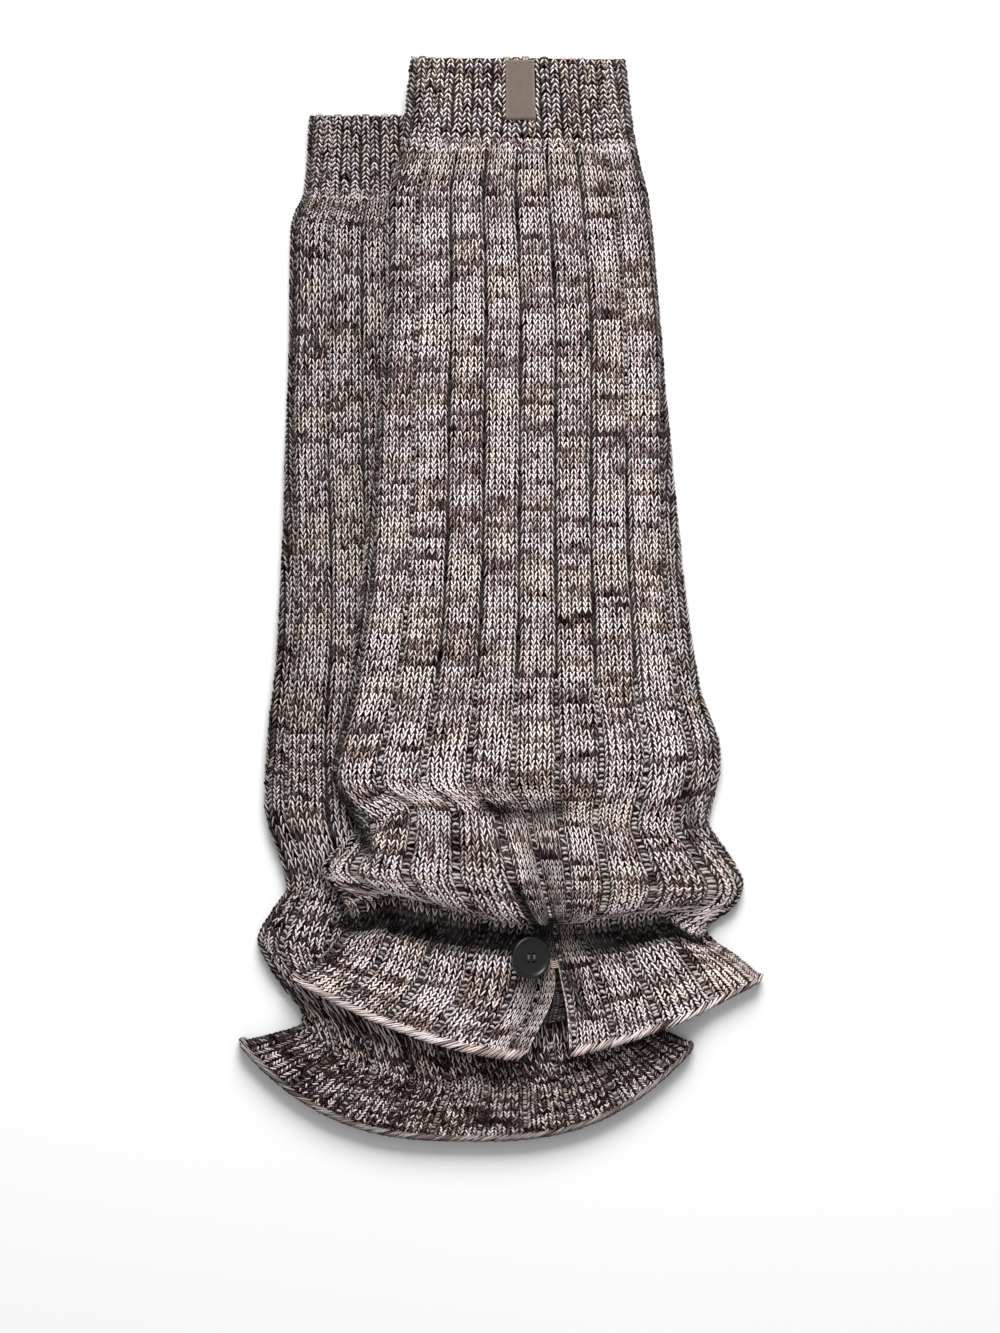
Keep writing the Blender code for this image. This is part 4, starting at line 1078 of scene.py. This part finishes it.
def yarn_finish(name, colours, rib_wales, dye, light, blocky=1.6, lightness=0.75, lively=0.54, shadowed_from=None):
    """Plied wool-like yarn, a light ply beside dark ones, with painted light, and painted shadow past a
    course.
    """
    finish = Finish(name, 0.85, Specular_IOR_Level=0.03)
    stitch = finish.parts(finish.attribute("stitch"))
    strand = finish.parts(finish.uv("strand"))
    # Painted shadow: past a given course the yarn's colour is darker
    if shadowed_from is not None:
        past = finish.smooth(stitch[1], shadowed_from, shadowed_from + PAINTED_SHADOW_REACH)
        lightness = finish.math("MULTIPLY_ADD", past, PAINTED_SHADOW_CHANGE, lightness)
    wale, course, leg = stitch[0], stitch[1], stitch[2]
    own, lightness = marl(finish, wale, course, leg, colours, rib_wales, dye, blocky, lightness, lively)
    each = finish.chance(finish.vector(course, wale, finish.math("ADD", leg, dye + 6.0)))
    # Light ply as a streak on each strand's top, dark at flanks and ends: plies, with painted highlight and
    # shade
    lies = finish.math("MULTIPLY_ADD", finish.math("SUBTRACT", strand[1], 0.5), 0.1, 0.25)
    lies = finish.math("MULTIPLY_ADD", finish.math("SUBTRACT", each, 0.5), 0.08, lies)
    off_top = finish.math("ABSOLUTE", finish.math("SUBTRACT", strand[0], lies))
    wide = finish.math("MULTIPLY_ADD", lightness, 0.1, 0.12)
    top = finish.math("SUBTRACT", 1.0, finish.smooth(finish.math("DIVIDE", off_top, wide), 0.55, 1.15))
    ends = finish.math("ABSOLUTE", finish.math("SUBTRACT", strand[1], 0.5))
    top = finish.math("MULTIPLY", top, finish.math("SUBTRACT", 1.0, finish.smooth(ends, 0.32, 0.5)))
    fibres = finish.noise(finish.place(), scale=FIBRE_SCALE, detail=2.0)
    shaded = finish.math("MULTIPLY_ADD", fibres, 0.4, 0.8)
    dark = finish.mix(0.035, colours.dark_yarn, own)
    plies_with_painted_light = finish.mix(top, dark, own)
    # Painted light and shade that each strand carries in its stitch attribute
    sight = finish.math("POWER", finish.math("ABSOLUTE", leg), 1.5)
    level = finish.math("MULTIPLY", finish.math("MULTIPLY", shaded, sight), light)
    # Where the painted shadow falls, the level rises by a touch
    if shadowed_from is not None:
        level = finish.math("MULTIPLY", level, finish.math("MULTIPLY_ADD", past, 0.02, 1.0))
    finish.colour(plies_with_painted_light, level)
    twist = finish.math("MULTIPLY_ADD", strand[1], 3.0, finish.math("MULTIPLY", strand[0], 4.0))
    plies = finish.math("ABSOLUTE", finish.math("SINE", finish.math("MULTIPLY", twist, math.pi)))
    finish.bump(finish.math("MULTIPLY_ADD", fibres, 0.3, plies), 0.00015, 0.5)
    return finish.material


def ground_finish(name, colours, rib_wales, dye, under_yarn, light):
    """Knit with its stitches in its colour and bump, painted shade between its loops and up to the last
    wale with yarn.
    """
    finish = Finish(name, 0.95, Specular_IOR_Level=0.04)
    knit = finish.parts(finish.uv("knit"))
    wale = finish.math("FLOOR", finish.math("ADD", knit[0], 0.5))
    across_wale = finish.math("SUBTRACT", finish.math("ADD", knit[0], 0.5), wale)
    aside = finish.math("ABSOLUTE", finish.math("SUBTRACT", across_wale, 0.5))
    slant = finish.math("SUBTRACT", knit[1], finish.math("MULTIPLY", aside, 1.3))
    course = finish.math("FLOOR", slant)
    along_course = finish.math("SUBTRACT", slant, course)
    loop = finish.math("SINE", finish.math("MULTIPLY", along_course, math.pi))
    leg = finish.math("SINE", finish.math("MULTIPLY", aside, 2 * math.pi))
    height = finish.math("MULTIPLY", finish.math("POWER", loop, 0.6), finish.math("POWER", leg, 0.6))
    own, _ = marl(finish, wale, course, 0.0, colours, rib_wales, dye, 1.4, 0.7, 0.62)
    # Painted shade: dark under the yarn, a little less dark inside the tube, full light only where the
    # ground is bare
    bare = finish.math("MULTIPLY_ADD", finish.smooth(knit[0], under_yarn, under_yarn + 2.0), 0.9, 0.1)
    inside = finish.math("LESS_THAN", knit[0], -INSIDE_WALES / 2)
    bare = finish.math("MULTIPLY_ADD", inside, 0.06, bare)
    # Painted shade between the loops: their tops are lighter than the gaps
    level = finish.math("MULTIPLY", finish.math("MULTIPLY_ADD", height, 0.9, 0.05), bare)
    level = finish.math("MULTIPLY", level, light)
    fibres = finish.noise(finish.place(), scale=FIBRE_SCALE, detail=2.0)
    finish.colour(own, level)
    finish.bump(finish.math("MULTIPLY_ADD", fibres, 0.15, height), 0.0009, 0.9)
    return finish.material


def twill_finish(name, colour):
    """Fine diagonal twill."""
    finish = Finish(name, 0.75, Sheen_Weight=0.2, Specular_IOR_Level=0.3)
    uv = finish.parts(finish.uv("knit"))
    diagonal = finish.math("MULTIPLY_ADD", uv[0], 14.0, finish.math("MULTIPLY", uv[1], 28.0))
    ridge = finish.math("ABSOLUTE", finish.math("SINE", finish.math("MULTIPLY", diagonal, math.pi)))
    picks = finish.math("ABSOLUTE", finish.math("SINE", finish.math("MULTIPLY", uv[1], 120 * math.pi)))
    from_edge = finish.math("ABSOLUTE", finish.math("SUBTRACT", uv[0], 0.5))
    selvedge = finish.smooth(from_edge, 0.40, 0.44)
    patchy = finish.noise(finish.place(), scale=900.0, detail=3.0)
    # Painted shade in the grooves between the twill's ridges
    level = finish.math("MULTIPLY_ADD", ridge, 0.5, finish.math("MULTIPLY_ADD", patchy, 0.4, 0.4))
    level = finish.math("MULTIPLY_ADD", selvedge, 0.18, level)
    finish.colour(colour, level)
    finish.bump(finish.math("MULTIPLY_ADD", picks, 0.4, ridge), 0.00015, 0.8)
    return finish.material


def resin_finish(name, colour):
    """Moulded matt resin with a slight cloudiness and fine scratches."""
    finish = Finish(name, 0.4, Specular_IOR_Level=0.42, Coat_Weight=0.12, Coat_Roughness=0.25)
    place = finish.place()
    cloud = finish.noise(place, scale=260.0, detail=3.0)
    scratch = finish.noise(place, scale=2400.0, detail=4.0, roughness=0.7)
    finish.colour(colour, finish.math("MULTIPLY_ADD", cloud, 0.7, 0.65))
    finish.roughness(finish.math("MULTIPLY_ADD", scratch, 0.3, 0.22))
    finish.bump(scratch, 0.00004, 0.6)
    return finish.material


def thread_finish(name, colour):
    """Twisted sewing thread."""
    finish = Finish(name, 0.7, Sheen_Weight=0.2, Specular_IOR_Level=0.4)
    strand = finish.parts(finish.uv("strand"))
    twist = finish.math("MULTIPLY_ADD", strand[1], 9.0, finish.math("MULTIPLY", strand[0], 2.0))
    plies = finish.math("ABSOLUTE", finish.math("SINE", finish.math("MULTIPLY", twist, math.pi)))
    # Painted shade in the grooves between the plies
    level = finish.math("MULTIPLY_ADD", plies, 0.6, 0.55)
    finish.colour(colour, level)
    finish.bump(plies, 0.00012, 0.8)
    return finish.material


def floor_finish(name, colour):
    """Smooth pale paper."""
    finish = Finish(name, 0.9, Specular_IOR_Level=0.1)
    mottle = finish.noise(finish.place(), scale=3.0, detail=2.0)
    level = finish.math("MULTIPLY_ADD", mottle, 0.02, 0.98)
    finish.colour(colour, level)
    return finish.material


def length_property(name, description, default, low, high):
    """A length in metres that the sidebar shows."""
    return FloatProperty(
        name=name, description=description, default=default, min=low, max=high, unit="LENGTH", precision=5
    )


def colour_property(name, description, *levels):
    """A colour that the sidebar shows, from its values as a screen shows them."""
    return FloatVectorProperty(
        name=name, description=description, default=srgb(*levels), size=3, min=0.0, max=1.0, subtype="COLOR"
    )


class LegWarmerSizes(PropertyGroup):
    course: length_property(
        "Course", "Height of a row of stitches on the leg", 0.0024, 0.0016, 0.004,
    )
    cuff_course: length_property(
        "Cuff course", "Height of a row of stitches on the cuff", 0.00225, 0.0016, 0.004,
    )
    rib_height: length_property(
        "Rib height", "How high the leg's ribs stand over their valleys", 0.0012, 0.0002, 0.0015,
    )
    cuff_rib_height: length_property(
        "Cuff rib height", "How high the cuff's ribs stand over their valleys", 0.00055, 0.0002, 0.001,
    )
    yarn_width: length_property(
        "Yarn width", "Thickness of the yarn", 0.0011, 0.0005, 0.002,
    )
    yarn_rise: length_property(
        "Yarn rise", "How deep the ground lies under the tops of the stitches", 0.0007, 0.0003, 0.0009,
    )


class LegWarmerColours(PropertyGroup):
    light_yarn: colour_property("Light yarn", "The lightest lengths of the yarn", 247, 236, 234)
    tan_yarn: colour_property("Tan yarn", "The warm middle lengths of the yarn", 200, 178, 169)
    middle_yarn: colour_property("Grey yarn", "The cool middle lengths of the yarn", 122, 96, 99)
    dark_yarn: colour_property("Dark yarn", "The darkest lengths of the yarn", 31, 9, 11)
    label: colour_property("Label", "The woven label", 115, 101, 92)
    button: colour_property("Button", "The button's resin", 24, 23, 23)
    thread: colour_property("Thread", "The button's sewing thread", 92, 90, 96)
    floor: colour_property("Floor", "The paper that the pair lies on", 246, 246, 246)


def dress(item, finish, slot, *nodes):
    """Gives a piece its material, hangs it on the root body, hides the parts it stands for. The slot is not
    used.
    """
    item.data.materials.clear()
    item.data.materials.append(finish)
    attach(item, "root")
    if nodes:
        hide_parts(*nodes)
    return item


def settings(context):
    """The sizes and the colours that are set in the sidebar."""
    return context.scene.leg_warmer_sizes, context.scene.leg_warmer_colours


# The spans of the ground round each side fold, the seeds of the cuffs' and the hems' yarn, and the rows of
# a leg's ground, closer at its foot where the folds are
FOLD_SPANS = 8
CUFF_SEED, HEM_SEED = 300, 400
LEG_ROWS = np.unique(np.concatenate([
    np.arange(CUFF_LENGTH + 0.1, 300, 4.0),
    np.arange(300, HEM_START - 0.8, 1.8),
    [SLIT_ALONG, HEM_START - 0.8],
]))


def leg_area(warmer):
    """The area of a leg's cloth laid out flat, in square metres."""
    rows = np.linspace(CUFF_LENGTH, CLOTH_LENGTH, 200)
    round_way = 4 * half_span(warmer, rows) + 2 * FOLD_ARC
    return float(np.mean(round_way) * (CLOTH_LENGTH - CUFF_LENGTH)) * MM * MM


def make_leg(context, side):
    """A leg's ground and yarn, and its hem."""
    sizes, colours = settings(context)
    warmer = WARMERS[side]
    front = side == "front"
    knit = Knit(leg_surface, PANEL_WALES, sizes.course / MM, YARN_FROM)
    look = (colours, RIB_WALES, warmer["dye"])
    light = warmer["leg_light"]
    places = tube_places(warmer["spans"], FOLD_SPANS, 36, slit=front)
    cloth = ground(f"{side}_leg_cloth", warmer, knit, LEG_ROWS, places, sizes)
    dress(cloth, ground_finish(f"{side} leg ground", *look, LEG_LAST_WALE, light),
          f"{side}_knit", f"{side}_leg")
    yarn = yarn_finish(f"{side} leg yarn", *look, light, lively=warmer["lively"], shadowed_from=warmer["shadowed_from"])
    courses = int((HEM_START + YARN_PAST - YARN_FROM) / knit.pitch)
    cuts = (0, *(int(courses * share) for share in warmer["cuts"]), courses)
    pieces = []
    for i, stretch in enumerate(zip(cuts, cuts[1:])):
        name = f"{side}_leg_yarn_{i + 1}"
        piece = knitted(name, warmer, knit, stretch, LEG_YARN_WALES, sizes, warmer["seed"] + i)
        pieces.append(dress(piece, yarn, f"{side}_knit"))
    pieces += make_hem(context, side)
    rows = np.linspace(CUFF_LENGTH, CLOTH_LENGTH, 200)
    width = float(np.max(4 * half_span(warmer, rows) + 2 * FOLD_ARC)) * MM
    leg_area(warmer)


def make_cuff(context, side):
    """A cuff's ground and yarn."""
    sizes, colours = settings(context)
    warmer = WARMERS[side]
    knit = Knit(cuff_surface, CUFF_PANEL_WALES, sizes.cuff_course / MM, 0.0)
    look = (colours, CUFF_RIB_WALES, warmer["dye"])
    light = warmer["cuff_light"]
    rows = np.concatenate([[0.0, 0.5, 1.2], np.arange(2.2, CUFF_LENGTH - 0.5, 1.8), [CUFF_LENGTH]])
    cloth = ground(f"{side}_cuff_cloth", warmer, knit, rows, tube_places(144, FOLD_SPANS, 30), sizes)
    dress(cloth, ground_finish(f"{side} cuff ground", *look, CUFF_LAST_WALE, light),
          f"{side}_knit", f"{side}_cuff")
    stretch = (0, int(CUFF_LENGTH / knit.pitch) + 2)
    yarn = knitted(f"{side}_cuff_yarn", warmer, knit, stretch, CUFF_YARN_WALES, sizes, CUFF_SEED)
    dress(yarn, yarn_finish(f"{side} cuff yarn", *look, light, blocky=0.7), f"{side}_knit")
    around = float(np.mean(4 * half_span(warmer, rows) + 2 * FOLD_ARC)) * MM


def make_hem(context, side):
    """The rolled edge round a hem, and its strands."""
    sizes, colours = settings(context)
    warmer = WARMERS[side]
    light = warmer["hem_light"]
    knit = Knit(hem_surface, PANEL_WALES, sizes.course / MM, HEM_START)
    rows = knit.first + np.array([-0.6, 0.0, 0.35, 0.7, 1.3, 2.0, 2.7, 3.3, 3.7, 4.0])
    places = tube_places(132, FOLD_SPANS, 40, slit=side == "front")
    cloth = ground(f"{side}_hem_cloth", warmer, knit, rows, places, sizes)
    look = ground_finish(f"{side} hem ground", colours, RIB_WALES, warmer["dye"], LEG_LAST_WALE, light)
    dress(cloth, look, "hem_knit", f"{side}_hem")
    yarn = rolled_strands(f"{side}_hem_yarn", warmer, HEM_SEED)
    look = yarn_finish(f"{side} hem yarn", colours, RIB_WALES, warmer["dye"] + 60.0, 0.84 * light,
                       blocky=0.6, lightness=0.68, lively=0.5)
    dress(yarn, look, "hem_knit")
    return [cloth, yarn]


def on_button(points):
    """Points given about the button's middle, put where the button leans."""
    points = np.asarray(points, float)
    turn = np.array([
        [math.cos(BUTTON_TILT), 0.0, math.sin(BUTTON_TILT)],
        [0.0, 1.0, 0.0],
        [-math.sin(BUTTON_TILT), 0.0, math.cos(BUTTON_TILT)],
    ])
    return points @ turn.T + np.array([BUTTON_X, BUTTON_Y, BUTTON_Z])


def select_faces(item, wanted):
    """Selects the faces of the mesh being edited that a test picks, and nothing else."""
    form = bmesh.from_edit_mesh(item.data)
    for face in form.faces:
        face.select_set(False)
    for face in form.faces:
        if wanted(face):
            face.select_set(True)
    form.select_flush_mode()
    bmesh.update_edit_mesh(item.data)


def add_cylinder(name, radius, depth, sides, location=(0.0, 0.0, 0.0)):
    """An upright cylinder, with its sizes and its place in millimetres."""
    bpy.ops.object.select_all(action="DESELECT")
    bpy.ops.mesh.primitive_cylinder_add(
        vertices=sides, radius=radius * MM, depth=depth * MM, location=[value * MM for value in location]
    )
    item = bpy.context.active_object
    item.name = item.data.name = name
    return item


def model_button():
    """The button about its own middle: a rim, a dished face and four holes."""
    button = add_cylinder("front_button_resin", BUTTON_RADIUS, BUTTON_DEPTH, 72)
    bpy.ops.object.mode_set(mode="EDIT")
    bpy.ops.mesh.select_mode(type="FACE")
    for facing, steps in ((1, FACE_STEPS), (-1, BACK_STEPS)):
        select_faces(button, lambda face: face.normal.z * facing > 0.9)
        for width, rise in steps:
            bpy.ops.mesh.inset(thickness=width * MM)
            bpy.ops.transform.translate(value=(0.0, 0.0, rise * MM))
    bpy.ops.object.mode_set(mode="OBJECT")
    bevel = button.modifiers.new("soft edges", "BEVEL")
    bevel.width, bevel.segments, bevel.limit_method = 0.22 * MM, 3, "ANGLE"
    bevel.angle_limit = math.radians(12.0)
    bpy.ops.object.modifier_apply(modifier=bevel.name)
    for index in range(HOLES):
        angle = math.radians(45.0 + 360.0 / HOLES * index)
        spot = (HOLE_REACH * math.cos(angle), HOLE_REACH * math.sin(angle), 0.0)
        cutter = add_cylinder(f"hole_{index}", HOLE_RADIUS, 12.0, 20, spot)
        bpy.ops.object.select_all(action="DESELECT")
        button.select_set(True)
        bpy.context.view_layer.objects.active = button
        hole = button.modifiers.new("hole", "BOOLEAN")
        hole.operation, hole.object, hole.solver = "DIFFERENCE", cutter, "EXACT"
        bpy.ops.object.modifier_apply(modifier=hole.name)
        bpy.data.objects.remove(cutter, do_unlink=True)
    bpy.ops.object.shade_smooth_by_angle(angle=math.radians(28.0))
    return button


def sewn(name, warmer, centre, out, half):
    """Plain strands of sewing, half so thick at their stations."""
    half = np.broadcast_to(half, centre.shape[:2])
    return strands(name, warmer, centre, out, half, half, np.ones((len(centre), 3)))


def button_thread(warmer):
    """The thread through the button's holes and its shank down to the cloth."""
    bars, ways = [], []
    reach = HOLE_REACH * math.sin(math.radians(45.0))
    up = on_button([0.0, 0.0, 1.0]) - on_button([0.0, 0.0, 0.0])
    for side in (-1, 1):
        for lie in (-BAR_GAP, 0.0, BAR_GAP):
            x = side * reach + lie
            top = BAR_HEIGHT + (0.22 if lie == 0.0 else 0.0)
            bars.append(on_button([
                (x, -reach, BAR_FOOT), (x, -reach + 0.25, top - 0.35), (x, 0.0, top),
                (x, reach - 0.25, top - 0.35), (x, reach, BAR_FOOT),
            ]))
            ways.append(np.tile(up, (5, 1)))
    foot = cloth_at(warmer, THREAD_ALONG, THREAD_AT)
    head = on_button([0.0, 0.0, BAR_FOOT])
    steps = np.linspace(0, 1, 5)[:, None]
    for index in range(SHANK_STRANDS):
        angle = 2 * math.pi * index / SHANK_STRANDS
        turned = angle + SHANK_TWIST
        start = head + SHANK_RADIUS * np.array([math.cos(angle), math.sin(angle), 0.2])
        end = foot + [SHANK_RADIUS * math.cos(turned), SHANK_RADIUS * math.sin(turned), 0.6]
        shank = start + (end - start) * steps
        bars.append(shank)
        ways.append(unit(shank - (head + (foot - head) * steps) + [0, 0, 0.001]))
    half = np.full((len(bars), 5), 0.24) * GIRTH
    half[-SHANK_STRANDS:] = 0.38 * np.array([0.0, 1.0, 0.9, 1.0, 0.0])
    return sewn("button_thread", warmer, np.array(bars), np.array(ways), half)


def model_label(warmer):
    """The woven label as a thin band that is thicker at its folded ends."""
    rows, places = np.linspace(LABEL_TOP, LABEL_FOOT, 40), np.linspace(LABEL_LEFT, LABEL_RIGHT, 22)
    along, place = rows[:, None] + 0 * places, places + 0 * rows[:, None]
    points, out = cloth_frame(warmer, along, place)
    t = (place - LABEL_LEFT) / (LABEL_RIGHT - LABEL_LEFT)
    s = (along - LABEL_TOP) / (LABEL_FOOT - LABEL_TOP)
    folds = np.exp(-(((s - 0.045) / 0.03) ** 2)) + np.exp(-(((s - 0.955) / 0.03) ** 2))
    ripple = 0.07 * np.sin(9 * s + 2 * t) * np.sin(math.pi * t)
    edges_down = 0.22 * np.abs(2 * t - 1) ** 8 + 0.25 * np.abs(2 * s - 1) ** 14
    lower = LABEL_UNDER - 0.4 * edges_down
    upper = LABEL_OVER + 0.12 * folds + ripple - edges_down
    return wall("label_twill_band", points + out * upper[..., None], points + out * lower[..., None],
                t, np.linspace(0, 1, len(rows)), wraps=False)


def label_stitches(warmer):
    """The stitches across the label's two ends."""
    t = np.repeat(np.linspace(0.08, 0.92, LABEL_STITCHES), 2)
    along = np.tile([LABEL_TOP + 1.0, LABEL_FOOT - 1.0], LABEL_STITCHES)
    step = np.linspace(-0.55, 0.55, 5)
    place = LABEL_LEFT + (LABEL_RIGHT - LABEL_LEFT) * t[:, None] + step / 56
    points, out = cloth_frame(warmer, along[:, None] + 0 * step, place)
    rise = LABEL_OVER + 0.04 + np.array([-0.25, 0.06, 0.1, 0.06, -0.25])
    return sewn("label_stitches", warmer, points + out * rise[:, None], out, 0.16 * GIRTH)


def slit_tack(warmer, sizes):
    """The bar tack across the top of the slit."""
    step = np.linspace(-1, 1, 5)
    rows = SLIT_ALONG - np.array([0.4, 1.2, 2.0, 2.8])
    along = rows[:, None] + 0.9 * (1 - step**2)
    place = np.where(step < 0, SLIT_AT, SLIT_AT + 0.001) + (0.62 * step - 0.2) / 20 + 0 * along
    points, out = cloth_frame(warmer, along, place)
    rise = leg_surface(warmer, along, SLIT_AT + 0 * along, sizes) + [0.2, 0.9, 1.05, 0.9, 0.2]
    return sewn("slit_bar_tack", warmer, points + out * rise[..., None], out, 0.34 * GIRTH)


class LEGWARMER_OT_label(Operator):
    """Weave the bare label and sew it on the cuff"""

    bl_idname = "legwarmer.label"
    bl_label = "Cuff label"
    bl_options = {"REGISTER", "UNDO"}

    def execute(self, context):
        _, colours = settings(context)
        label = model_label(WARMERS["front"])
        dress(label, twill_finish("label twill", colours.label), "label_twill", "front_label")
        sewing = label_stitches(WARMERS["front"])
        dress(sewing, thread_finish("label thread", colours.label), "sewing_thread")
        return {"FINISHED"}


class LEGWARMER_OT_button(Operator):
    """Make the button and its thread, and the bar tack at the top of the slit"""

    bl_idname = "legwarmer.button"
    bl_label = "Button"
    bl_options = {"REGISTER", "UNDO"}

    def execute(self, context):
        sizes, colours = settings(context)
        button = model_button()
        button.rotation_euler = (0.0, BUTTON_TILT, 0.0)
        button.location = ((BUTTON_X - MIDDLE_X) * MM, BUTTON_Y * MM, BUTTON_Z * MM)
        bpy.ops.object.transform_apply(location=True, rotation=True, scale=True)
        dress(button, resin_finish("button resin", colours.button), "button_resin", "front_button")
        thread = button_thread(WARMERS["front"])
        look = thread_finish("button thread", colours.thread)
        dress(thread, look, "sewing_thread", "front_button_thread")
        tack = slit_tack(WARMERS["front"], sizes)
        dress(tack, thread_finish("tack yarn", colours.tan_yarn), "hem_knit")
        return {"FINISHED"}


class LEGWARMER_OT_rear_cuff(Operator):
    """Knit the cuff of the rear warmer"""

    bl_idname = "legwarmer.rear_cuff"
    bl_label = "Rear cuff"
    bl_options = {"REGISTER", "UNDO"}

    def execute(self, context):
        make_cuff(context, "rear")
        return {"FINISHED"}


class LEGWARMER_OT_rear_leg(Operator):
    """Knit the leg of the rear warmer"""

    bl_idname = "legwarmer.rear_leg"
    bl_label = "Rear leg"
    bl_options = {"REGISTER", "UNDO"}

    def execute(self, context):
        make_leg(context, "rear")
        return {"FINISHED"}


class LEGWARMER_OT_front_cuff(Operator):
    """Knit the cuff of the front warmer"""

    bl_idname = "legwarmer.front_cuff"
    bl_label = "Front cuff"
    bl_options = {"REGISTER", "UNDO"}

    def execute(self, context):
        make_cuff(context, "front")
        return {"FINISHED"}


class LEGWARMER_OT_front_leg(Operator):
    """Knit the leg of the front warmer"""

    bl_idname = "legwarmer.front_leg"
    bl_label = "Front leg"
    bl_options = {"REGISTER", "UNDO"}

    def execute(self, context):
        make_leg(context, "front")
        return {"FINISHED"}


class LEGWARMER_OT_stage(Operator):
    """Set the floor, the lights and the camera"""

    bl_idname = "legwarmer.stage"
    bl_label = "Stage"
    bl_options = {"REGISTER", "UNDO"}

    def execute(self, context):
        scene = context.scene
        _, colours = settings(context)
        bpy.ops.object.select_all(action="DESELECT")
        bpy.ops.mesh.primitive_plane_add(size=6.0, location=(0.0, 0.0, 0.0))
        floor = context.active_object
        floor.name = "floor"
        floor.data.materials.append(floor_finish("pale paper", colours.floor))
        world = scene.world or bpy.data.worlds.new("studio")
        scene.world = world
        world.use_nodes = True
        light = world.node_tree.nodes["Background"]
        light.inputs["Color"].default_value = (1.0, 1.0, 1.0, 1.0)
        light.inputs["Strength"].default_value = WORLD_LIGHT
        lamp = bpy.data.lights.new("key light", "AREA")
        lamp.shape, lamp.size, lamp.energy = "SQUARE", LAMP_SIZE, LAMP_POWER
        item = bpy.data.objects.new("key light", lamp)
        scene.collection.objects.link(item)
        item.location = LAMP_AT
        item.rotation_euler = (-Vector(LAMP_AT)).to_track_quat("-Z", "Y").to_euler()
        lens = bpy.data.cameras.new("camera")
        lens.lens, lens.sensor_width, lens.clip_end = 200.0, 36.0, 20.0
        camera = bpy.data.objects.new("camera", lens)
        camera.location = CAMERA_AT
        scene.collection.objects.link(camera)
        scene.camera = camera
        scene.view_settings.view_transform = "Standard"
        return {"FINISHED"}


class LEGWARMER_PT_build(Panel):
    """The pieces of the pair, in the order in which they are made"""

    bl_idname = "LEGWARMER_PT_build"
    bl_label = "Leg warmers"
    bl_space_type = "VIEW_3D"
    bl_region_type = "UI"
    bl_category = "Leg warmers"

    def draw(self, context):
        layout = self.layout
        for group in (context.scene.leg_warmer_sizes, context.scene.leg_warmer_colours):
            box = layout.box()
            for name in group.__annotations__:
                box.prop(group, name)
        for operator in OPERATORS:
            layout.operator(operator.bl_idname)


OPERATORS = (
    LEGWARMER_OT_rear_cuff,
    LEGWARMER_OT_rear_leg,
    LEGWARMER_OT_front_cuff,
    LEGWARMER_OT_front_leg,
    LEGWARMER_OT_label,
    LEGWARMER_OT_button,
    LEGWARMER_OT_stage,
)
CLASSES = (LegWarmerSizes, LegWarmerColours, *OPERATORS, LEGWARMER_PT_build)


def register():
    for item in CLASSES:
        bpy.utils.register_class(item)
    bpy.types.Scene.leg_warmer_sizes = PointerProperty(type=LegWarmerSizes)
    bpy.types.Scene.leg_warmer_colours = PointerProperty(type=LegWarmerColours)


def unregister():
    del bpy.types.Scene.leg_warmer_colours
    del bpy.types.Scene.leg_warmer_sizes
    for item in reversed(CLASSES):
        bpy.utils.unregister_class(item)


def main():
    """Makes the pair and its stage."""
    register()
    bpy.ops.legwarmer.rear_cuff()
    bpy.ops.legwarmer.rear_leg()
    bpy.ops.legwarmer.front_cuff()
    bpy.ops.legwarmer.front_leg()
    bpy.ops.legwarmer.label()
    bpy.ops.legwarmer.button()
    bpy.ops.legwarmer.stage()


if __name__ == "__main__":
    main()
